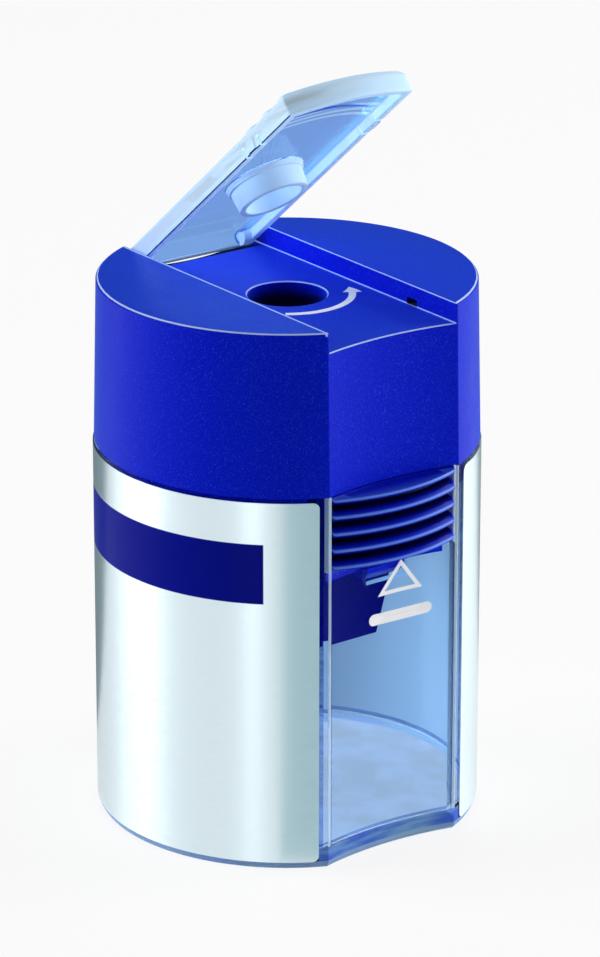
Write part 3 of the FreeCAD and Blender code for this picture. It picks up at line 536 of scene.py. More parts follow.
@dataclass(frozen=True)
class BareMetal(Finish):
    """Milled or ground metal with lines along one direction."""

    colour: Colour  # colour of the metal
    roughness: Pair  # lowest and highest roughness
    stretch: Colour  # lines to the metre along X, Y and Z
    depth: float  # depth of the lines, in metres
    dull: float = 0.8  # brightness of the metal in its lines

    def paint(self, bench: Bench, shader: Node, spot: NodeSocket,
              effects: Effects) -> Node:
        """Set up the shader: metal with fine raised lines.

        Args:
            bench: The bench on the material's tree.
            shader: Its Principled node.
            spot: Object coordinates.
            effects: The shared shader groups.

        Returns:
            The shader node that the material shows.
        """
        lines = bench.group(effects.hairlines, {"Vector": spot, "Stretch": self.stretch})
        bump = bench.add("Bump", {"Height": lines["Height"], "Distance": self.depth, "Strength": 1.0})
        return bench.fill(shader, {
            "Base Color": bench.blend(lines["Lines"], self.colour, dimmed(self.colour, self.dull)),
            "Roughness": bench.spread(lines["Lines"], self.roughness),
            "Normal": bump.outputs[0], "Metallic": 1.0})


@dataclass(frozen=True)
class Finishes:
    """All finishes of the object."""

    head: MouldedPlastic = MouldedPlastic(
        "blue_head", (0.0005, 0.004, 0.56), (0.02, 0.10, 0.88), (0.36, 0.46), 7000.0, 0.00002, 0.3,
        highlight_share=0.85, sheen=0.3, channel=True)
    tongue: MouldedPlastic = MouldedPlastic(
        "blue_tongue", (0.001, 0.005, 0.42), (0.01, 0.04, 0.65), (0.22, 0.3), 9000.0, 0.000004, 0.3,
        edge=(0.12, 0.25, 0.85), highlight_share=0.9, ribbed=True)
    holder: MouldedPlastic = MouldedPlastic(
        "blue_holder", (0.0005, 0.002, 0.25), (0.004, 0.012, 0.40), (0.4, 0.5), 2200.0, 0.00001, 0.2, ior=1.1)
    # its deep colour and dark veins also paint the dark lines by the window and in the cove
    tub: ClearPlastic = ClearPlastic(
        "clear_tub", (0.74, 0.88, 1.0), (0.20, 0.34, 0.80), (0.07, 0.12, 0.28), 0.7, 1.0, (0.0, 0.03), 1.1)
    # the pale finish of the painted highlights on the window's edges and in the cove
    tub_edge: ClearPlastic = ClearPlastic(
        "clear_tub_edge", (0.70, 0.86, 1.0), (0.02, 0.06, 0.40), (0.0, 0.0, 0.0), 0.0, 0.5, (0.1, 0.2), 1.2)
    # its pale veins are painted glints of the thick base, over its flow streaks
    tub_base: ClearPlastic = ClearPlastic(
        "clear_tub_base", (0.5, 0.74, 1.0), (0.09, 0.22, 1.0), (0.34, 0.68, 1.0), 0.9, 0.4, (0.05, 0.15), 1.1)
    lid: ClearPlastic = ClearPlastic(
        "clear_lid", (0.72, 0.88, 1.0), (0.20, 0.38, 0.78), (0.0, 0.0, 0.0), 0.0, 1.0, (0.02, 0.06), 1.08)
    # its deep colour is the painted dark line along the rim's lower edges
    lid_rim: ClearPlastic = ClearPlastic(
        "clear_lid_rim", (0.64, 0.84, 1.0), (0.005, 0.02, 0.10), (0.0, 0.0, 0.0), 0.0, 0.15, (0.1, 0.2), 1.06)
    label_left: SilverFoil = SilverFoil(
        "foil_left", (0.70, 0.82, 0.87), (0.3, 0.38), (0.0, 0.004, 0.25), (0.0293, 0.0357), -0.0138)
    label_right: SilverFoil = SilverFoil(
        "foil_right", (0.70, 0.82, 0.87), (0.3, 0.38), (0.0, 0.004, 0.25), None, 0.0)
    alloy: BareMetal = BareMetal(
        "milled_alloy", (0.78, 0.79, 0.82), (0.22, 0.4), (900.0, 900.0, 12000.0), 0.000008)
    ink: MouldedPlastic = MouldedPlastic(
        "white_ink", (0.93, 0.94, 0.95), (0.98, 0.98, 0.98), (0.4, 0.5), 9000.0, 0.000002, 0.3,
        gloss=(1.0, 1.0, 1.0))
    steel: BareMetal = BareMetal(
        "ground_steel", (0.62, 0.63, 0.66), (0.15, 0.3), (9000.0, 900.0, 900.0), 0.000004)


def linked(name: str, data: ID) -> Object:
    """Put a new object in the scene.

    Args:
        name: The object's name.
        data: Its mesh, lamp or camera data.

    Returns:
        The object.
    """
    thing = bpy.data.objects.new(name, data)
    bpy.context.scene.collection.objects.link(thing)
    return thing


def dress(node: str, material: Material) -> None:
    """Give a CAD node a finish.

    Args:
        node: The node's name.
        material: The finish.
    """
    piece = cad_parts[node]
    piece.data.materials.clear()
    piece.data.materials.append(material)
    log.info("%s wears %s", node, material.name)


class Surface:
    """Points and faces of one piece, gathered from grids and caps."""

    def __init__(self) -> None:
        """Start with nothing."""
        self._points: list[np.ndarray] = []
        self._faces: list[np.ndarray] = []
        self._count = 0

    def grid(self, points: np.ndarray, wrap: bool = False, loop: bool = False,
             keep: np.ndarray | None = None) -> np.ndarray:
        """Add a grid of points as quads between neighbouring rows and columns.

        Args:
            points: Array of rows by columns by three coordinates.
            wrap: Whether the last column joins the first.
            loop: Whether the last row joins the first.
            keep: Mask of the quads to keep, or None for all of them.

        Returns:
            The index of each point, rows by columns.
        """
        rows, columns = points.shape[:2]
        index = np.arange(rows * columns).reshape(rows, columns) + self._count
        near = np.concatenate((index, index[:1])) if loop else index
        near = np.concatenate((near, near[:, :1]), axis=1) if wrap else near
        quads = np.stack((near[:-1, :-1], near[:-1, 1:], near[1:, 1:], near[1:, :-1]), axis=-1)
        self._faces.append(quads[keep] if keep is not None else quads.reshape(-1, 4))
        self._points.append(points.reshape(-1, 3))
        self._count += rows * columns
        return index

    def cap(self, *rings: np.ndarray) -> None:
        """Close each ring of point indices with one flat face."""
        self._faces.extend(ring.reshape(1, -1) for ring in rings)

    def tube(self, points: np.ndarray, keep: np.ndarray | None = None) -> None:
        """Add a grid whose rows are closed rings, with a flat face at each end."""
        index = self.grid(points, wrap=True, keep=keep)
        self.cap(index[0], index[-1])

    def mesh(self, name: str) -> Mesh:
        """Make the mesh: doubles merged, faces outwards, smooth up to the crease angle.

        Args:
            name: The mesh's name.

        Returns:
            The mesh.
        """
        points = np.concatenate(self._points)
        corners = np.concatenate([faces.ravel() for faces in self._faces])
        sizes = np.concatenate([np.full(len(faces), faces.shape[1]) for faces in self._faces])
        mesh = bpy.data.meshes.new(name)
        mesh.vertices.add(len(points))
        mesh.vertices.foreach_set("co", points.ravel())
        mesh.loops.add(len(corners))
        mesh.loops.foreach_set("vertex_index", corners)
        mesh.polygons.add(len(sizes))
        mesh.polygons.foreach_set("loop_start", np.cumsum(sizes) - sizes)
        mesh.update(calc_edges=True)
        shell = bmesh.new()
        shell.from_mesh(mesh)
        bmesh.ops.remove_doubles(shell, verts=shell.verts, dist=WELD)
        bmesh.ops.dissolve_degenerate(shell, edges=shell.edges, dist=WELD)
        bmesh.ops.recalc_face_normals(shell, faces=shell.faces)
        shell.to_mesh(mesh)
        shell.free()
        mesh.polygons.foreach_set("use_smooth", np.ones(len(mesh.polygons), dtype=bool))
        mesh.set_sharp_from_angle(angle=math.radians(CREASE))
        return mesh


def stack(x: Any, y: Any, z: Any) -> np.ndarray:
    """Return points from coordinates that broadcast together."""
    return np.stack(np.broadcast_arrays(x, y, z), axis=-1).astype(float)


def arc(steps: int) -> np.ndarray:
    """Return angles from 0 to a quarter turn."""
    return np.linspace(0.0, math.pi / 2, steps)


def circle(steps: int) -> np.ndarray:
    """Return angles round a full turn, without its end."""
    return np.linspace(0.0, 2 * math.pi, steps, endpoint=False)


def rounding(radius: float, steps: int) -> tuple[np.ndarray, np.ndarray]:
    """Return how far a quarter arc lies from the face where it ends, and from the face where it starts."""
    angle = arc(steps)
    return radius * (1 - np.sin(angle)), radius * (1 - np.cos(angle))


def polar(radius: Any, angle: Any, x: Any = 0.0, y: Any = 0.0) -> np.ndarray:
    """Return X and Y at a radius and an angle about a centre."""
    return np.stack(np.broadcast_arrays(x + radius * np.cos(angle), y + radius * np.sin(angle)), axis=-1)


@dataclass(frozen=True)
class BodyPlan:
    """Plan of the body: two round wings, and a shallow scoop in front and behind."""

    radius: float = 20.0 * MM  # radius of the wings
    facet_half_width: float = 8.2 * MM  # half width of a scoop
    scoop_depth: float = 1.0 * MM  # depth of a scoop at its middle
    corner: float = 0.3 * MM  # rounding where a scoop meets a wing
    least_corner: float = 0.03 * MM  # the smallest that an inset leaves of it
    wing_steps: int = 50  # columns on half a wing

    @property
    def scoop_radius(self) -> float:
        """Radius of a scoop, from its chord and depth."""
        return (self.facet_half_width ** 2 + self.scoop_depth ** 2) / (2 * self.scoop_depth)

    @property
    def scoop_centre(self) -> float:
        """Distance of a scoop's centre from the body's axis."""
        return math.sqrt(self.radius ** 2 - self.facet_half_width ** 2) - self.scoop_depth + self.scoop_radius

    def front(self, inset: Any, x: Any) -> np.ndarray:
        """Return Y of the front scoop, moved in by an inset: the near side of its circle at X."""
        return np.sqrt((self.scoop_radius + inset) ** 2 - x ** 2) - self.scoop_centre

    def quarter(self, inset: np.ndarray, stations: np.ndarray) -> np.ndarray:
        """Return the front right quarter of the outline, from the scoop's middle to the wing's middle.

        The scoop is followed at the stations, then a small arc tangent to the scoop and the wing, then the
        wing's own arc.

        Args:
            inset: How far each row's outline is moved in.
            stations: X of the columns on the scoop.

        Returns:
            Array of rows by columns by X and Y.
        """
        inset = inset[:, None]
        wing, scoop = self.radius - inset, self.scoop_radius + inset
        corner = np.maximum(self.corner - inset, self.least_corner)
        apart = self.scoop_centre
        back = (apart ** 2 + (wing - corner) ** 2 - (scoop + corner) ** 2) / (2 * apart)
        side = np.sqrt((wing - corner) ** 2 - back ** 2)
        x = np.broadcast_to(stations, (len(inset), len(stations)))
        start, end = np.arctan2(back - apart, -side), np.arctan2(-back, side)
        bend = start + (end - start) * np.linspace(0.0, 1.0, BEND_STEPS)
        sweep = end * np.linspace(1.0, 0.0, self.wing_steps)[1:]
        return np.concatenate((np.stack((x, self.front(inset, x)), axis=-1),
                               polar(corner, bend, side, -back), polar(wing, sweep)), axis=1)

    def ring(self, inset: np.ndarray, stations: np.ndarray) -> np.ndarray:
        """Return the whole outline, anticlockwise from the middle of the front scoop.

        Args:
            inset: How far each row's outline is moved in.
            stations: X of the columns on a half of each scoop.

        Returns:
            Array of rows by columns by X and Y. The last column joins the first.
        """
        quarter = self.quarter(inset, stations)
        right = np.concatenate((quarter, quarter[:, -2::-1] * (1.0, -1.0)), axis=1)
        return np.concatenate((right, right[:, -2:0:-1] * (-1.0, 1.0)), axis=1)


def spread_mask(quarter: np.ndarray) -> np.ndarray:
    """Return a mask of a whole ring's columns from its front right quarter, with the back half left out."""
    right = np.concatenate((quarter, np.zeros(len(quarter) - 1, dtype=bool)))
    return np.concatenate((right, right[-2:0:-1]))


def faces_of(mesh: Mesh) -> tuple[np.ndarray, np.ndarray]:
    """Return the middle and the normal of each face, faces by three."""
    middles, normals = np.empty(3 * len(mesh.polygons)), np.empty(3 * len(mesh.polygons))
    mesh.polygons.foreach_get("center", middles)
    mesh.polygons.foreach_get("normal", normals)
    return middles.reshape(-1, 3), normals.reshape(-1, 3)


def mark(mesh: Mesh, deep: np.ndarray, finish: np.ndarray) -> None:
    """Mark the faces with more plastic or a painted dark line, and which of the piece's finishes each face
    takes.

    Args:
        mesh: The piece's mesh.
        deep: Depth of each face's tint, painted dark lines included, from 0 to 1.
        finish: Number of each face's finish, from 0.
    """
    mesh.attributes.new(DEPTH_AND_PAINTED_LINES, "FLOAT", "FACE").data.foreach_set("value", deep.astype(float))
    mesh.polygons.foreach_set("material_index", finish.astype(int))


def place(mesh: Mesh, body: Body, slot: Slot, materials: Sequence[Material],
          *nodes: str) -> Object:
    """Put a new piece in the scene, on its body, in its finish.

    Args:
        mesh: The piece's mesh, whose name it takes.
        body: The body that it rides on.
        slot: The record's slot of its finish; not used.
        materials: Its finishes, in the order of their numbers.
        *nodes: The CAD nodes that it stands for.

    Returns:
        The piece.
    """
    piece = linked(mesh.name, mesh)
    for material in materials:
        mesh.materials.append(material)
    piece.modifiers.new("even_normals", "WEIGHTED_NORMAL").keep_sharp = True
    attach(piece, body.value)
    if nodes:
        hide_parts(*nodes)
    log.info("%s: %d faces, on %s", mesh.name, len(mesh.polygons), body.value)
    return piece


@dataclass
class Tub:
    """Clear shavings tub with a notch for the tongue and a blind keeper slot inside."""

    plan: BodyPlan  # plan of the body
    height: float = 40.6 * MM  # height of the rim
    wall: float = 1.2 * MM  # thickness of the wall
    floor: float = 1.5 * MM  # thickness of the floor
    base_round: float = 0.6 * MM  # rounding under the base
    cove: float = 0.8 * MM  # rounding between wall and floor, inside
    rim_round: float = 0.15 * MM  # rounding of the rim
    notch_half_width: float = 7.9 * MM  # half width of the notch in the front wall
    notch_floor: float = 32.2 * MM  # height of the notch's floor
    slot_half_width: float = 2.63 * MM  # half width of the keeper slot
    slot_columns: int = 4  # columns of faces on that half
    slot_foot: float = 29.5 * MM  # height of the keeper slot's floor
    slot_top: float = 31.4 * MM  # height of its ceiling
    slot_skin: float = 0.3 * MM  # wall left in front of it
    edge_line: float = 0.14 * MM  # width of the painted dark line beside the window's upright edges
    edge_end: float = 8.45 * MM  # X where the painted highlight on the upright edges ends
    label_line: float = 8.85 * MM  # X where the painted dark line along a label starts
    label_end: float = 9.3 * MM  # X of the labels' ends
    label_foot: float = 0.85 * MM  # height of the streaked band under the windows: flow streaks, whose pale ones are painted glints
    band: float = 2.4 * MM  # height of the streaked band under the windows
    cove_light: Pair = (0.3, 0.55)  # where the painted highlight line in the cove starts and ends, as shares of its height
    cove_shade: Pair = (0.55, 1.0)  # where the painted dark line over it does
    foot_depth: float = 0.35  # depth of the tint under the labels
    under_depth: float = 0.7  # depth of the tint under the base

    def surface(self) -> Surface:
        """Work out the shell: a wall section carried round the plan, lowered where the notch is.

        Each row of the section has an inset, a level and a drop under the rim, and each column a rim height:
        a point's height is the lower of its level and of its column's rim less the drop. Two columns on one
        line, one full and one notched, make the notch's side walls.

        Returns:
            The closed surface.
        """
        base_in, base_up = rounding(self.base_round, 7)
        lip_down, lip_in = rounding(self.rim_round, 5)
        cove_up, cove_in = rounding(self.cove, 7)
        outside = (self.label_foot, self.band, self.slot_foot, self.slot_top)
        inside = (self.slot_top, self.slot_foot)
        inset = np.concatenate((
            base_in, np.zeros(len(outside)), lip_in, self.wall - lip_in[::-1],
            np.full(len(inside), self.wall), self.wall + cove_in))
        level = np.concatenate((
            base_up, outside, np.full(2 * len(lip_in), np.inf), inside, self.floor + cove_up))
        first = len(base_in) + len(outside)
        high = first + 2 * len(lip_in)
        drop = np.zeros(len(inset))
        drop[first:high] = np.concatenate((lip_down, lip_down[::-1]))
        stations = np.concatenate((
            np.linspace(0.0, self.slot_half_width, self.slot_columns + 1),
            np.linspace(self.slot_half_width, self.notch_half_width - self.edge_line, 9)[1:],
            [self.notch_half_width, self.notch_half_width]))
        ring = self.plan.ring(inset, stations)
        columns = ring.shape[1]
        notched = spread_mask(np.arange(columns // 4 + 1) < len(stations) - 1)
        rim_height = np.where(notched, self.notch_floor, self.height)
        points = stack(ring[..., 0], ring[..., 1], np.minimum(level[:, None], rim_height - drop[:, None]))
        keep = np.ones((len(inset) - 1, columns), dtype=bool)
        keep[high, :self.slot_columns] = keep[high, -self.slot_columns:] = False
        surface = Surface()
        surface.tube(points, keep)
        mouth = np.roll(points[[high, high + 1]], self.slot_columns, axis=1)
        self._add_keeper(surface, mouth[:, :2 * self.slot_columns + 1])
        return surface

    def _add_keeper(self, surface: Surface, mouth: np.ndarray) -> None:
        """Add the keeper slot: its mouth carried straight into the wall, and a bottom there."""
        bottom = mouth.copy()
        bottom[..., 1] = self.slot_skin + self.plan.front(0.0, 0.0)
        surface.grid(np.stack([np.concatenate((end[0], end[1, ::-1])) for end in (mouth, bottom)]), wrap=True)
        surface.grid(bottom)

    def build(self, *materials: Material) -> Object:
        """Make the piece in place of its node, with painted dark lines and painted highlights by the window
        and in the cove, and a base band of streaks, partly painted glints.

        Args:
            *materials: The finishes of the walls, of the painted highlights on the window's upright edges and
                        in the cove, and of the base.

        Returns:
            The piece.
        """
        mesh = self.surface().mesh("tub_shell")
        middles, normals = faces_of(mesh)
        side, level = np.abs(middles[:, 0]), middles[:, 2]
        outer = (normals * middles)[:, :2].sum(axis=1) > WELD
        # painted dark lines beside the window's edges and along the labels' ends; painted highlights on the
        # edges and the notch's sides
        upright = outer & (np.abs(normals[:, 2]) < UPRIGHT) & (level > self.band)
        line = upright & (side > self.notch_half_width - self.edge_line) & (side < self.notch_half_width)
        line |= upright & (side > self.label_line) & (side < self.label_end)
        pale = upright & (side > self.notch_half_width) & (side < self.edge_end)
        pale |= (np.abs(side - self.notch_half_width) < WELD) & (np.abs(normals[:, 0]) > SQUARE)
        # a painted highlight line in the cove, with a painted dark line over it
        rise = np.where(outer, 0.0, (level - self.floor) / self.cove)
        cove_highlight, shade = ((rise > low) & (rise < high) for low, high in (self.cove_light, self.cove_shade))
        foot = outer & (level < self.label_foot)
        # the streaked band: flow streaks with pale painted glints
        band = outer & (level < self.band) & (side < self.label_end) & ~foot
        tint = np.maximum(self.foot_depth * foot, self.under_depth * (level < WELD))
        mark(mesh, np.maximum(line | shade | band, tint), np.where(foot | band, 2, pale | cove_highlight))
        return place(mesh, Body.TUB, Slot.CLEAR, materials, "tub")


@dataclass
class Tongue:
    """Press tongue with rounded grip ribs, a tail and a latch barb."""

    plan: BodyPlan  # plan of the body
    half_width: float = 7.7 * MM  # half width of the ribbed block
    ledge: float = 40.3 * MM  # height of the ledge over the first rib
    root: float = 40.48 * MM  # height of the block's root behind the ledge
    foot: float = 32.7 * MM  # height of the block's underside
    rib_rows: int = 121  # rows of points down the ribbed front
    pitch: float = 1.8 * MM  # distance between ribs
    depth: float = 1.25 * MM  # depth of the grooves
    first_rib: float = 40.1 * MM  # height of the first rib's crown
    end_round: float = 0.25 * MM  # rounding at the ends of the ribs
    columns: int = 39  # number of even columns from side to side
    column_ends: Pair = (0.95, 0.96)  # where those end and the closer ones start, as shares of the half width
    crown_line: float = 0.09  # half width of the painted highlight line on a crown, as a share of the pitch
    crown_lift: float = 0.03  # how far that line lies above the crown, as a share of the pitch
    valley: Pair = (0.08, 0.8)  # where the painted shade in the valley under a crown starts and ends, as shares of the pitch
    valley_power: float = 0.7  # power of the valley's half sine, below 1 to broaden it
    front_margin: float = 1.02  # depth of the front that takes the painted light and shade, as a share of the grooves
    tail_half_width: float = 7.4 * MM  # half width of the tail
    tail_step: float = 0.1 * MM  # how far under the block the tail has narrowed to that
    tail_foot: float = 30.9 * MM  # height of the tail's end
    tail_front: float = 1.4 * MM  # inset of the tail's front face
    tail_back: float = 2.6 * MM  # inset of its back face
    barb: tuple[Pair, ...] = (  # Y and Z corners of the latch barb, in millimetres
        (-14.64, 31.2), (-14.64, 29.7), (-15.84, 29.7), (-16.79, 30.6), (-16.79, 31.2))
    barb_half_width: float = 2.4 * MM  # half width of the barb

    def rib_radius(self, z: np.ndarray) -> np.ndarray:
        """Return the front's radius at a height: half waves with round crowns that meet in sharp valleys."""
        wave = np.abs(np.cos(math.pi * (z - self.first_rib) / self.pitch))
        return self.plan.radius - self.depth * (1 - wave)

    def surface(self) -> Surface:
        """Work out the block and tail: one section loop carried from side to side.

        Round points of the section lie at a radius about the body's axis, scooped ones at an inset of the
        front scoop, and each has its own half width. Near its ends the ribbed front draws back on an arc.

        Returns:
            The closed surfaces of the block and of the barb.
        """
        rib_z = np.linspace(self.ledge, self.foot, self.rib_rows)
        neck, wide, narrow = self.foot - self.tail_step, self.half_width, self.tail_half_width
        scoop_z, scoop_in, scoop_width = np.array([
            (self.foot, self.tail_front, wide), (neck, self.tail_front, narrow),
            (self.tail_foot, self.tail_front, narrow), (self.tail_foot, self.tail_back, narrow),
            (neck, self.tail_back, narrow), (self.foot, self.tail_back, wide),
            (self.root, self.tail_back, wide), (self.root, 0.0, wide), (self.ledge, 0.0, wide)]).T
        even, close = self.column_ends
        end = np.linspace(close, 1.0, BEND_STEPS)
        across = np.concatenate((-end[::-1], np.linspace(-even, even, self.columns), end))[:, None]
        x = across * self.half_width
        over = np.clip(np.abs(x) - self.half_width + self.end_round, 0.0, self.end_round)
        draw_back = self.end_round - np.sqrt(self.end_round ** 2 - over ** 2)
        rib_y = -np.sqrt((self.rib_radius(rib_z) - draw_back) ** 2 - x ** 2)
        scoop_x = across * scoop_width
        scooped = stack(scoop_x, self.plan.front(scoop_in, scoop_x), scoop_z)
        surface = Surface()
        surface.tube(np.concatenate((stack(x, rib_y, rib_z), scooped), axis=1))
        barb = np.array(self.barb) * MM
        sides = np.array([[-self.barb_half_width], [self.barb_half_width]])
        surface.tube(stack(sides, barb[:, 0], barb[:, 1]))
        return surface

    def rib_light_and_shade(self, mesh: Mesh) -> np.ndarray:
        """Return each point's painted light and shade: 1 for a highlight on a rib's crown, 0 for shade in the
        valley under it, half elsewhere.

        The phase runs from one crown down to the next. A crown's line is a narrow bell over phase 0, and a
        valley a half sine over the phases of the rib's underside.

        Args:
            mesh: The piece's mesh.

        Returns:
            One value to each point.
        """
        points = np.empty(3 * len(mesh.vertices))
        mesh.vertices.foreach_get("co", points)
        x, y, z = points.reshape(-1, 3).T
        phase = (self.first_rib - z) / self.pitch % 1.0
        from_crown = (phase + 0.5 + self.crown_lift) % 1.0 - 0.5
        crown = np.exp(-(from_crown / self.crown_line) ** 2)
        low, high = self.valley
        valley = np.sin(math.pi * np.clip((phase - low) / (high - low), 0.0, 1.0)) ** self.valley_power
        front = np.hypot(x, y) > self.plan.radius - self.front_margin * self.depth
        return np.where(front, 0.5 + 0.5 * crown - 0.5 * valley * (1 - crown), 0.5)

    def build(self, material: Material) -> Object:
        """Make the piece in place of its node."""
        mesh = self.surface().mesh("ribbed_tongue")
        # the ribs' painted highlights and painted shade, one value to each point
        mesh.attributes.new(RIB_LIGHT_AND_SHADE, "FLOAT", "POINT").data.foreach_set("value", self.rib_light_and_shade(mesh))
        return place(mesh, Body.TONGUE, Slot.BLUE, (material,), "press_tongue")


@dataclass
class Lid:
    """Clear flip-up lid: a shallow tray with thumb ridges, a stopper, snap tabs and hinge pins.

    It is worked out shut, from its hinge axis, and then turned open.
    """

    hinge: Pair = (16.362 * MM, 56.55 * MM)  # Y and Z of the hinge axis
    opening: float = 40.0  # angle that the lid stands open, in degrees
    half_width: float = 7.65 * MM  # half width of the tray
    bow: float = 20.0 * MM  # radius of the front edge about the pencil hole's axis
    tail: float = 1.25 * MM  # reach behind the hinge
    tail_round: float = 0.8 * MM  # rounding of the upper edge there
    top: float = 1.25 * MM  # height of the plate's upper face over the hinge
    under: float = 0.25 * MM  # height of its underside
    rim: float = -0.8 * MM  # height of the rim, below the hinge
    wall: float = 0.9 * MM  # thickness of the side walls
    edge: float = 0.14 * MM  # rounding of the edges
    corner: float = 0.3 * MM  # rounding of the corners in plan
    least_corner: float = 0.06 * MM  # the smallest that an inset leaves of it
    end_steps: int = 30  # columns along the front and the rear, between the corners
    # first and last angle of the columns that fan out from the pencil hole's axis, in degrees
    fan: Pair = (-50.0, 65.0)
    fan_steps: int = 47  # number of those columns
    ridge_height: float = 0.45 * MM  # height of a thumb ridge
    ridge_width: float = 1.1 * MM  # width of a thumb ridge
    ridge_pitch: float = 3.05 * MM  # distance between ridges
    ridge_fade: float = 0.35 * MM  # length over which a ridge's end sinks into the plate
    ridges: int = 3  # number of ridges
    ridge_rows: int = 9  # rows of points across a ridge
    # distance behind the ridges over which the rows of the upper face lose their bow
    flatten: float = 14.0 * MM
    # radii of the painted light stripes under the plate, about the pencil hole's axis, outermost first
    light_stripes: tuple[float, ...] = (15.4 * MM, 14.4 * MM, 13.4 * MM)
    light_stripe_width: float = 0.5 * MM  # width of such a painted stripe
    tab: float = -26.962 * MM  # Y of the middle of the snap tabs
    tab_reach: float = 1.525 * MM  # distance from there to the middle of each slot
    tab_slot: float = 0.35 * MM  # width of a slot
    tab_top: float = 0.15 * MM  # height of a slot's end
    nub_half_length: float = 0.65 * MM  # half length of the nub on a tab
    nub_ease: float = 0.15  # length of the slope at each end of a nub, as a share of that
    nub_top: float = -0.3 * MM  # height of the nub's upper side
    nub_reach: float = 0.2 * MM  # how far the nub stands out
    pin_radius: float = 0.75 * MM  # radius of a hinge pin
    pin_end: float = 9.15 * MM  # X of a pin's end
    pin_steps: int = 40  # columns round a pin
    boss_radius: float = 1.0 * MM  # radius of the boss behind a pin
    boss_end: float = 5.85 * MM  # X of a boss's inner end
    # radius and height of the stopper's section, from the plate to its hollow, in millimetres
    stopper: tuple[Pair, ...] = (
        (4.45, 0.25), (4.33, 0.2), (4.28, 0.1), (4.12, -0.42), (4.04, -0.48), (3.94, -0.52), (3.78, -2.4),
        (3.74, -2.5), (3.66, -2.55), (3.12, -2.55), (3.05, -2.48), (2.95, 0.1), (2.85, 0.22), (2.7, 0.25))
    stopper_depth: float = 0.12  # depth of its tint

    def turned(self, points: np.ndarray) -> np.ndarray:
        """Return points about the hinge turned open and moved to the hinge.

        Before that, points beyond the tail's rounding are drawn in to it, towards its centre line.

        Args:
            points: Points about the hinge axis, with the lid shut.

        Returns:
            The points in the frame of the solids.
        """
        angle = math.radians(self.opening)
        back, level = self.tail - self.tail_round, self.top - self.tail_round
        behind, over = points[..., 1] - back, points[..., 2] - level
        reach = np.maximum(np.hypot(behind, over), WELD)
        share = np.where((behind > 0.0) & (over > 0.0), np.minimum(self.tail_round / reach, 1.0), 1.0)
        y, z = back + behind * share, level + over * share
        return stack(points[..., 0],
                     y * math.cos(angle) + z * math.sin(angle) + self.hinge[0],
                     z * math.cos(angle) - y * math.sin(angle) + self.hinge[1])

    def ridge_middles(self) -> np.ndarray:
        """Return the radius of each ridge's middle line, outermost first."""
        return self.bow - self.edge - self.ridge_width / 2 - self.ridge_pitch * np.arange(self.ridges)

    def ridge_radii(self) -> np.ndarray:
        """Return the radii of the rows across all the ridges, outermost first."""
        across = np.linspace(0.5, -0.5, self.ridge_rows) * self.ridge_width
        return (self.ridge_middles()[:, None] + across).ravel()

    def stations(self) -> tuple[np.ndarray, np.ndarray]:
        """Return Y of the columns along a side, front to rear, and which of them lie in a tab slot."""
        side = self.half_width - self.edge
        ridges = -self.hinge[0] - np.sqrt(self.ridge_radii()[1:] ** 2 - side ** 2)
        eased = 1.0 + self.nub_ease
        nub = self.tab + self.nub_half_length * np.array([-eased, -1.0, 1.0, eased])
        tail = np.linspace(self.tail - self.tail_round, self.tail - self.corner - self.edge / 2, BEND_STEPS)
        fan = -self.hinge[0] + side * np.tan(np.radians(np.linspace(*self.fan, self.fan_steps)))
        middle = self.tab + self.tab_reach * np.array([[-1.0], [1.0]])
        slots = middle + self.tab_slot * np.array([[-0.5, 0.5]])
        free = np.concatenate((ridges, nub, fan, tail))
        inside = ((free[:, None] > slots[:, 0]) & (free[:, None] < slots[:, 1])).any(axis=1)
        y = np.sort(np.concatenate((free[~inside], slots.ravel(), slots.ravel())))
        first = np.searchsorted(y, slots[:, 0], side="right") - 1
        last = np.searchsorted(y, slots[:, 1], side="left")
        order = np.arange(len(y))[:, None]
        return y, ((order >= first) & (order <= last)).any(axis=1)

    def ends(self, inset: np.ndarray) -> tuple[np.ndarray, np.ndarray]:
        """Return the bowed front and the straight rear of the outline, corners included.

        Each runs anticlockwise between the points where its corner arcs touch the straight sides.

        Args:
            inset: How far each row's outline is moved in.

        Returns:
            Two arrays of rows by columns by X and Y.
        """
        inset = inset[:, None]
        side, bow, rear = self.half_width - inset, self.bow - inset, self.tail - inset
        corner = np.maximum(self.corner - inset, self.least_corner)
        reach = np.sqrt((bow - corner) ** 2 - (side - corner) ** 2)
        touch = np.arctan2(-reach, side - corner)
        between = np.linspace(-1.0, 1.0, self.end_steps)[1:-1]
        bend = polar(corner, touch * np.linspace(1.0, 0.0, BEND_STEPS), side - corner, -reach - self.hinge[0])
        sweep = polar(bow, -math.pi / 2 + (touch + math.pi / 2) * between, 0.0, -self.hinge[0])
        turn = polar(corner, arc(BEND_STEPS), side - corner, rear - corner)
        across = -between * (side - corner)
        back = np.stack((across, np.broadcast_to(rear, across.shape)), axis=-1)
        mirror = (-1.0, 1.0)
        return (np.concatenate((bend[:, ::-1] * mirror, sweep, bend), axis=1),
                np.concatenate((turn, back, turn[:, ::-1] * mirror), axis=1))

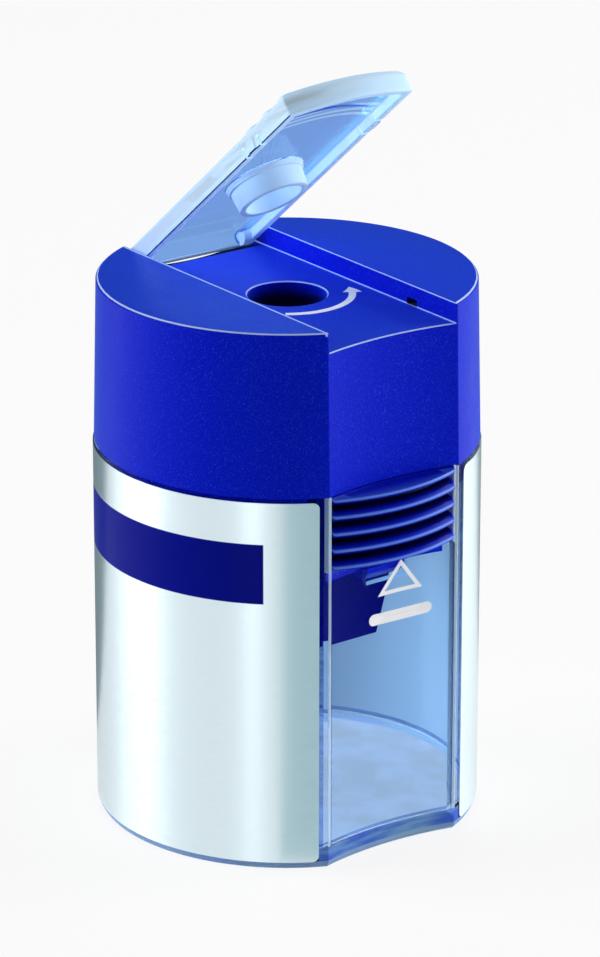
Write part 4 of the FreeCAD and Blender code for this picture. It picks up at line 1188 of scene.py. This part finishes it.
    def ring(self, inset: np.ndarray, y: np.ndarray, cut: np.ndarray) -> tuple[np.ndarray, np.ndarray]:
        """Return the outline at each inset: front, right side, rear, left side.

        The columns along a side stop at the corners, which draw in with the inset.

        Args:
            inset: How far each row's outline is moved in.
            y: Y of the columns along a side.
            cut: Which of those lie in a tab slot.

        Returns:
            Array of rows by columns by X and Y, and which of all the columns lie in a tab slot.
        """
        front, rear = self.ends(inset)
        side = np.broadcast_to(self.half_width - inset[:, None], (len(inset), len(y)))
        along = np.clip(y, front[:, -1:, 1], rear[:, :1, 1])
        right = np.stack((side, along), axis=-1)
        left = np.stack((-side, along), axis=-1)[:, ::-1]
        whole = [np.zeros(end.shape[1], dtype=bool) for end in (front, rear)]
        return (np.concatenate((front, right, rear, left), axis=1),
                np.concatenate((whole[0], cut, whole[1], cut[::-1])))

    def add_top(self, surface: Surface, y: np.ndarray) -> None:
        """Add the plate's upper face: rows bowed like the front edge, raised in round ridges.

        A row's bow has the radius at which it meets the sides. Behind the ridges it flattens out. Over each
        ridge the height is half an ellipse, which fades on an arc at the ridge's ends.

        Args:
            surface: The surface to add to.
            y: Y of the columns along a side.
        """
        front, rear = (end[0] for end in self.ends(np.array([self.edge])))
        side = self.half_width - self.edge
        x = front[:, 0]
        y = y[:, None]
        last = self.ridge_radii().min()
        behind = y + self.hinge[0] + math.sqrt(last ** 2 - side ** 2)
        bowed = behind < SLACK
        held = np.where(bowed, np.sqrt((y + self.hinge[0]) ** 2 + side ** 2), last)
        bulge = np.sqrt(held ** 2 - x ** 2) - np.sqrt(held ** 2 - side ** 2)
        bulge *= (1 - np.clip(behind / self.flatten, 0.0, 1.0)) ** 2
        off = np.abs(held[..., None] - self.ridge_middles()).min(axis=-1) / (self.ridge_width / 2)
        crown = np.sqrt(np.clip(1 - off ** 2, 0.0, 1.0)) * np.where(bowed, self.ridge_height, 0.0)
        short = np.clip((np.abs(x) - side + self.ridge_fade) / self.ridge_fade, 0.0, 1.0)
        rows = (stack(x, front[:, 1], self.top)[None],
                stack(x, y - bulge, self.top + crown * np.sqrt(1 - short ** 2)),
                stack(rear[::-1, 0], rear[::-1, 1], self.top)[None])
        surface.grid(self.turned(np.concatenate(rows)))

    def add_pins(self, surface: Surface) -> None:
        """Add both hinge pins with their bosses, each a stepped section turned about the hinge axis."""
        inner = self.half_width - self.wall / 2
        lean = self.pin_radius - self.edge
        x, radius = np.array([
            (self.boss_end, lean), (self.boss_end, self.boss_radius), (inner, self.boss_radius),
            (inner, self.pin_radius), (self.pin_end - self.edge, self.pin_radius), (self.pin_end, lean)]).T
        round_axis = polar(radius[:, None], circle(self.pin_steps))
        for way in (-1.0, 1.0):
            surface.tube(self.turned(stack(way * x[:, None], round_axis[..., 0], round_axis[..., 1])))

    def surface(self) -> Surface:
        """Work out the tray: a wall section carried round the outline, then fanned in to the stopper.

        The rim is raised where a tab slot is, and pushed out over a nub. Under the plate the rows close in on
        circles round the pencil hole's axis: the edges of the fine lines, then the stopper's section to its
        hollow.

        Returns:
            The closed surface.
        """
        y, cut = self.stations()
        down, inside = rounding(self.edge, 4)
        face = np.append(np.linspace(self.top - 2 * self.edge, self.top - self.tail_round, BEND_STEPS),
                         self.nub_top)
        inset = np.concatenate((
            down, np.zeros(len(face)), inside, self.wall - inside[::-1], self.wall + inside))
        level = np.concatenate((
            self.top - inside, face, np.full(2 * len(down), -np.inf), self.under - down))
        lift = np.concatenate((np.zeros(len(down) + len(face)), down, down[::-1], np.zeros(len(down))))
        ring, slotted = self.ring(inset, y, cut)
        floor = np.where(slotted, self.tab_top, self.rim)
        points = stack(ring[..., 0], ring[..., 1], np.maximum(level[:, None], floor + lift[:, None]))
        outer = (inset < self.wall / 2) & (level < self.nub_top + SLACK)
        on_nub = (np.abs(points[..., 1] - self.tab) < self.nub_half_length + WELD) & (
            np.abs(points[..., 0]) > self.half_width - self.wall / 2)
        points[..., 0] += np.where(outer[:, None] & on_nub, np.sign(points[..., 0]) * self.nub_reach, 0.0)
        surface = Surface()
        index = surface.grid(self.turned(np.concatenate((points, self.inward(points[-1])))), wrap=True)
        surface.cap(index[-1])
        self.add_top(surface, y)
        self.add_pins(surface)
        return surface

    def inward(self, start: np.ndarray) -> np.ndarray:
        """Return the rows under the plate, at the angles of the row they start from.

        The edges of the painted light stripes are circles, held back to the first row where they would pass
        it.
        The rest are circles that follow the stopper's section.

        Args:
            start: Points of the row along the foot of the walls.

        Returns:
            Array of rows by columns by three coordinates.
        """
        section = np.array(self.stopper) * MM
        angle = np.arctan2(start[:, 1] + self.hinge[0], start[:, 0])
        reach = np.hypot(start[:, 0], start[:, 1] + self.hinge[0])
        # edges of the painted light stripes
        lines = (np.array(self.light_stripes)[:, None] + self.light_stripe_width * np.array([0.5, -0.5])).reshape(-1, 1)
        circles = np.broadcast_to(section[:, :1], (len(section), len(reach)))
        flat = polar(np.concatenate((np.minimum(lines, reach), circles)), angle, 0.0, -self.hinge[0])
        level = np.concatenate((np.full((len(lines), 1), self.under), section[:, 1:]))
        return stack(flat[..., 0], flat[..., 1], level)

    def build(self, clear: Material, rim: Material) -> Object:
        """Make the piece in place of its node, deeper in the plate and paler in the walls, with painted light
        stripes under the plate and a painted dark line along the rim's lower edges.

        Args:
            clear: The finish of the plate and the stopper.
            rim: The finish of the walls round the plate.

        Returns:
            The piece.
        """
        mesh = self.surface().mesh("lid_tray")
        middles, normals = faces_of(mesh)
        angle = math.radians(self.opening)
        behind, over = middles[:, 1] - self.hinge[0], middles[:, 2] - self.hinge[1]
        x = np.abs(middles[:, 0])
        y = behind * math.cos(angle) - over * math.sin(angle)
        z = behind * math.sin(angle) + over * math.cos(angle)
        upward = normals[:, 1] * math.sin(angle) + normals[:, 2] * math.cos(angle)
        walls = self.wall + self.edge
        bow, ahead = np.hypot(x, y + self.hinge[0]), y < -self.hinge[0]
        border = (x > self.half_width - walls) | (y > self.tail - walls) | ((bow > self.bow - walls) & ahead)
        # painted light stripes under the plate, paler than the plate's deep tint
        line = (np.abs(bow[:, None] - self.light_stripes) < self.light_stripe_width / 2).any(axis=1) & ahead
        line &= z < self.under + WELD
        plate = ~border & ~line & ((np.abs(upward) > SQUARE) | (z > self.top)) & (z > self.under - self.edge)
        back = (y > self.tail - walls) & (x < self.half_width - walls) & (z > self.rim + self.edge)
        stopper = ~border & (z < self.under - self.edge)
        # a painted dark line along the rim's lower outer edges, in the rim finish's near-black deep colour
        lip = border & (z < self.rim + self.edge) & (x > self.half_width - self.edge / 2)
        deep = np.maximum(plate | lip | back, self.stopper_depth * stopper)
        mark(mesh, deep, (border | stopper) & ~back)
        return place(mesh, Body.LID, Slot.CLEAR_LID, (clear, rim), "lid")


@dataclass
class Prints:
    """White printed marks: a press triangle and a bar on the window, and a turning arrow by the hole."""

    plan: BodyPlan  # plan of the body
    film: float = 0.02 * MM  # thickness of the ink
    line: float = 0.42 * MM  # width of the triangle's lines
    # X and Z of the triangle's corners, in millimetres
    triangle: tuple[Pair, ...] = ((1.63, 31.5), (-1.3, 28.0), (4.2, 28.0))
    side_steps: int = 24  # columns along a side of it
    # X and Z of the bar's middle, its half length and half height, in millimetres
    bar: tuple[float, float, float, float] = (1.45, 25.6, 3.9, 0.62)
    bar_steps: int = 48  # columns round the bar
    # length and height of the line that the bar's band starts from, as shares of the bar's
    bar_core: Pair = (0.5, 0.02)
    arrow_floor: float = 55.65 * MM  # height of the channel floor
    arrow_radius: float = 6.7 * MM  # radius of the arrow's middle line about the pencil hole
    arrow_sweep: Pair = (-128.0, -32.0)  # plan angles of the arrow's tail and neck, in degrees
    arrow_line: float = 0.378 * MM  # half width of the arrow's line
    arrow_head: Pair = (1.7 * MM, 1.0 * MM)  # length and half width of the arrow's head
    arrow_tip: float = 0.01 * MM  # half width of its tip
    arrow_steps: tuple[int, int] = (60, 12)  # columns along the line and along the head

    def on_window(self, edges: np.ndarray, name: str, material: Material) -> None:
        """Lay a closed band on the front scoop.

        Args:
            edges: Its inner and its outer edge, two rows of X and Z.
            name: The piece's name.
            material: The ink.
        """
        x, z = edges[..., 0], edges[..., 1]
        skin = self.plan.front(0.0, x)
        surface = Surface()
        surface.grid(np.concatenate((stack(x, skin, z), stack(x, skin - self.film, z)[::-1])),
                     wrap=True, loop=True)
        place(surface.mesh(name), Body.TUB, Slot.CLEAR, (material,))

    def build(self, material: Material) -> None:
        """Make the three marks."""
        self.on_window(self.triangle_edges(), "press_triangle", material)
        self.on_window(self.bar_edges(), "press_bar", material)
        self.build_arrow(material)

    def triangle_edges(self) -> np.ndarray:
        """Return the edges of the triangle's outline: the inner one is drawn in to the inscribed circle."""
        corners = np.array(self.triangle) * MM
        runs = np.roll(corners, -1, axis=0) - corners
        steps = np.linspace(0.0, 1.0, self.side_steps, endpoint=False)[:, None]
        path = np.concatenate([corner + run * steps for corner, run in zip(corners, runs)])
        sides = np.linalg.norm(runs, axis=1)
        area = abs(runs[0, 0] * runs[1, 1] - runs[0, 1] * runs[1, 0]) / 2
        middle = (corners * np.roll(sides, -1)[:, None]).sum(axis=0) / sides.sum()
        inscribed = 2 * area / sides.sum()
        return np.stack((middle + (path - middle) * (1 - self.line / inscribed), path))

    def bar_edges(self) -> np.ndarray:
        """Return the edges of the bar: a thin core and a round-ended outline."""
        x, z, length, height = np.array(self.bar) * MM
        turn = circle(self.bar_steps)
        edge = polar(height, turn, x + np.sign(np.cos(turn)) * (length - height), z)
        return np.stack(((x, z) + (edge - (x, z)) * self.bar_core, edge))

    def build_arrow(self, material: Material) -> None:
        """Lay the turning arrow on the channel floor: an arc band whose half width swells into a head."""
        tail, neck = np.radians(self.arrow_sweep)
        length, half = self.arrow_head
        tip = neck + length / self.arrow_radius
        angle, width = np.concatenate((
            np.linspace((tail, self.arrow_line), (neck, self.arrow_line), self.arrow_steps[0]),
            np.linspace((neck, half), (tip, self.arrow_tip), self.arrow_steps[1]))).T
        side = np.array([-1.0, 1.0, 1.0, -1.0])[:, None]
        z = self.arrow_floor + np.array([0.0, 0.0, self.film, self.film])[:, None]
        flat = polar(self.arrow_radius + side * width, angle)
        surface = Surface()
        index = surface.grid(stack(flat[..., 0], flat[..., 1], z), loop=True)
        surface.cap(index[:, 0], index[:, -1])
        place(surface.mesh("turning_arrow"), Body.HEAD, Slot.BLUE, (material,))


def aim(thing: Object, target: Vector, turn: float, lift: float, reach: float) -> None:
    """Put a lamp or a camera in its place, facing a point.

    Args:
        thing: The lamp or the camera.
        target: The point that it faces.
        turn: Its plan angle from +X as seen from there, in degrees.
        lift: Its angle above the floor, in degrees.
        reach: Its distance.
    """
    turn, lift = math.radians(turn), math.radians(lift)
    away = Vector((math.cos(turn) * math.cos(lift), math.sin(turn) * math.cos(lift), math.sin(lift)))
    thing.location = target + away * reach
    thing.rotation_euler = (-away).to_track_quat("-Z", "Y").to_euler()


@dataclass
class Lamp:
    """One soft box that points at the object."""

    name: str  # the lamp's name
    turn: float  # plan angle of the lamp from +X, in degrees
    lift: float  # angle above the floor, in degrees
    reach: float  # distance from the object's middle
    size: Pair  # width and height
    power: float  # power in watts

    def build(self, target: Vector) -> None:
        """Make the lamp, which the camera doesn't see.

        Args:
            target: The point that it faces.
        """
        data = bpy.data.lights.new(self.name, "AREA")
        data.shape = "RECTANGLE"
        data.size, data.size_y = self.size
        data.energy = self.power
        lamp = linked(self.name, data)
        lamp.visible_camera = False
        aim(lamp, target, self.turn, self.lift, self.reach)


@dataclass
class Card:
    """Dark card that only reflections see: a strip of the floor, then a curved sheet that stands up."""

    name: str  # the card's name
    turn: float  # plan angle of its middle from +X, in degrees
    spread: float  # half of the angle that it covers, in degrees
    near: float  # where the strip starts, from the object's axis
    far: float  # where the sheet stands up
    height: float  # height of the sheet
    strip_shade: float  # brightness of the strip
    sheet_shade: float  # brightness of the sheet
    tint: Colour = (0.75, 0.95, 1.0)  # colour of both
    lift: float = 0.5 * MM  # height of the strip over the floor
    fade: float = 60.0 * MM  # height by which the sheet's own brightness is reached
    columns: int = 25  # columns from one end to the other

    def build(self) -> None:
        """Make the card: a profile of three points swept round the object's axis."""
        angle = np.radians(self.turn + self.spread * np.linspace(-1.0, 1.0, self.columns))
        flat = polar(np.array([[self.near], [self.far], [self.far]]), angle)
        surface = Surface()
        surface.grid(stack(flat[..., 0], flat[..., 1], [[self.lift], [self.lift], [self.height]]))
        mesh = surface.mesh(self.name)
        material = bpy.data.materials.new(self.name)
        bench = cleared(material)
        rise = bench.add("SeparateXYZ", {0: bench.add("TexCoord").outputs["Object"]}).outputs["Z"]
        shade = bench.add("MapRange", {"Value": rise, "From Max": self.fade, "To Min": self.strip_shade,
                                       "To Max": self.sheet_shade})
        glow = bench.add("Emission", {"Color": rgba(self.tint), "Strength": shade.outputs[0]})
        through = bench.add("LightPath").outputs["Is Transmission Ray"]
        clear = bench.add("BsdfTransparent")
        seen = bench.add("MixShader", {0: through, 1: glow.outputs[0], 2: clear.outputs[0]})
        bench.add("OutputMaterial", {"Surface": seen.outputs[0]})
        mesh.materials.append(material)
        card = linked(self.name, mesh)
        card.visible_camera = card.visible_diffuse = card.visible_transmission = False
        card.visible_shadow = card.visible_volume_scatter = False


def background_seen(bench: Bench) -> NodeSocket:
    """Return 1 for rays that show the background: the camera's, and those through glass or off gloss."""
    path = bench.add("LightPath").outputs
    return bench.math("MAXIMUM", *(path[f"Is {kind} Ray"] for kind in ("Camera", "Transmission", "Glossy")))


@dataclass
class Studio:
    """White floor, soft light and the camera at the photograph's angle."""

    # point on the object's axis that the camera faces
    look_at: Vector = field(default_factory=lambda: Vector((0.0, 0.0, 0.0285)))
    reach: float = 0.526465  # camera distance
    turn: float = -126.509  # plan angle of the camera from +X, in degrees
    elevation: float = 20.935  # camera elevation, in degrees
    focal_px: float = 5044.561  # focal length in pixels of the photograph
    centre_px: Pair = (287.109, 541.113)  # where the look-at point lies in the photograph
    sensor: float = 36.0  # width of the camera's sensor, in millimetres
    near_clip: float = 0.01  # where the camera's view starts
    lamps: tuple[Lamp, ...] = (  # the soft boxes
        Lamp("box_back_left", 139.0, 12.0, 0.7, (0.42, 1.2), 7.0),
        Lamp("strip_left", -146.0, 10.0, 0.7, (0.1, 0.7), 0.7),
        Lamp("box_right", -6.0, 11.0, 0.7, (0.46, 0.9), 3.2),
        Lamp("box_front_right", -30.0, 14.0, 0.8, (0.4, 0.4), 4.6),
        Lamp("box_top", 60.0, 72.0, 0.8, (0.6, 0.6), 0.3),
    )
    cards: tuple[Card, ...] = (  # the dark cards between them
        Card("card_behind", 62.0, 46.0, 0.022, 0.6, 0.7, 0.3, 0.03),
        Card("card_front", -106.0, 23.0, 0.022, 0.6, 0.6, 0.75, 0.2),
    )
    surround: float = 0.15  # strength of the surround as light
    skyline: float = 0.88  # strength of the surround beyond the floor's far edge, as the camera sees it
    floor_half: float = 3.0  # half width of the floor
    floor_level: float = -0.05 * MM  # height of the floor, a little under the object
    floor_colour: Colour = (0.9, 0.9, 0.9)  # colour of the floor
    # share of plain white in the floor as the camera sees it, the rest keeping its shadows
    floor_glow: float = 0.85

    def build_camera(self) -> None:
        """Make the camera of the photograph."""
        data = bpy.data.cameras.new("photo_camera")
        data.sensor_width = self.sensor
        data.lens = self.focal_px * self.sensor / PHOTO_HEIGHT
        data.shift_x = (PHOTO_WIDTH / 2 - self.centre_px[0]) / PHOTO_HEIGHT
        data.shift_y = (self.centre_px[1] - PHOTO_HEIGHT / 2) / PHOTO_HEIGHT
        data.clip_start = self.near_clip
        camera = linked("photo_camera", data)
        aim(camera, self.look_at, self.turn, self.elevation, self.reach)
        bpy.context.scene.camera = camera

    def build_world(self) -> None:
        """Make the even surround: white in glass and gloss, like the floor to look at, dimmer as light."""
        world = bpy.data.worlds.new("studio")
        bench = cleared(world)
        white = bench.spread(background_seen(bench), (self.surround, 1.0))
        direct = bench.add("LightPath").outputs["Is Camera Ray"]
        strength = bench.math("MULTIPLY", white, bench.spread(direct, (1.0, self.skyline)))
        glow = bench.add("Background", {"Color": rgba((1.0, 1.0, 1.0)), "Strength": strength})
        bench.add("OutputWorld", {"Surface": glow.outputs[0]})
        bpy.context.scene.world = world

    def build_floor(self) -> None:
        """Make the floor: a white sheet that shows white to the camera and keeps a faint shadow."""
        half, z = self.floor_half, self.floor_level
        corners = [(-half, -half, z), (half, -half, z), (half, half, z), (-half, half, z)]
        mesh = bpy.data.meshes.new("floor")
        mesh.from_pydata(corners, [], [(0, 1, 2, 3)])
        floor = linked("floor", mesh)
        material = bpy.data.materials.new("white_floor")
        bench = cleared(material)
        matt = bench.add("BsdfDiffuse", {"Color": rgba(self.floor_colour)})
        glow = bench.add("Emission", {"Color": rgba((1.0, 1.0, 1.0)), "Strength": 1.0})
        share = bench.math("MULTIPLY", background_seen(bench), self.floor_glow)
        mix = bench.add("MixShader", {0: share, 1: matt.outputs[0], 2: glow.outputs[0]})
        bench.add("OutputMaterial", {"Surface": mix.outputs[0]})
        mesh.materials.append(material)

    def build(self) -> None:
        """Make the whole studio."""
        bpy.context.scene.view_settings.view_transform = "Standard"
        self.build_camera()
        self.build_world()
        self.build_floor()
        for lamp in self.lamps:
            lamp.build(self.look_at)
        for card in self.cards:
            card.build()


def main() -> None:
    """Build the studio and dress the object, piece by piece."""
    logging.basicConfig(level=logging.INFO)
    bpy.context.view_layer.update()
    effects, finishes, plan = Effects(), Finishes(), BodyPlan()
    Studio().build()
    clear_tub = (finishes.tub, finishes.tub_edge, finishes.tub_base)
    Tub(plan).build(*(finish.material(effects) for finish in clear_tub))
    Lid().build(finishes.lid.material(effects), finishes.lid_rim.material(effects))
    Tongue(plan).build(finishes.tongue.material(effects))
    Prints(plan).build(finishes.ink.material(effects))
    for nodes, slot, finish in (
            (("label_left",), Slot.FOIL, finishes.label_left),
            (("label_right",), Slot.FOIL, finishes.label_right),
            (("head_cover",), Slot.BLUE, finishes.head),
            (("sharpener_holder",), Slot.INNER, finishes.holder),
            (("sharpener_body",), Slot.ALLOY, finishes.alloy),
            (("blade", "blade_screw"), Slot.STEEL, finishes.steel)):
        material = finish.material(effects)
        for node in nodes:
            dress(node, material)


if __name__ == "__main__":
    main()
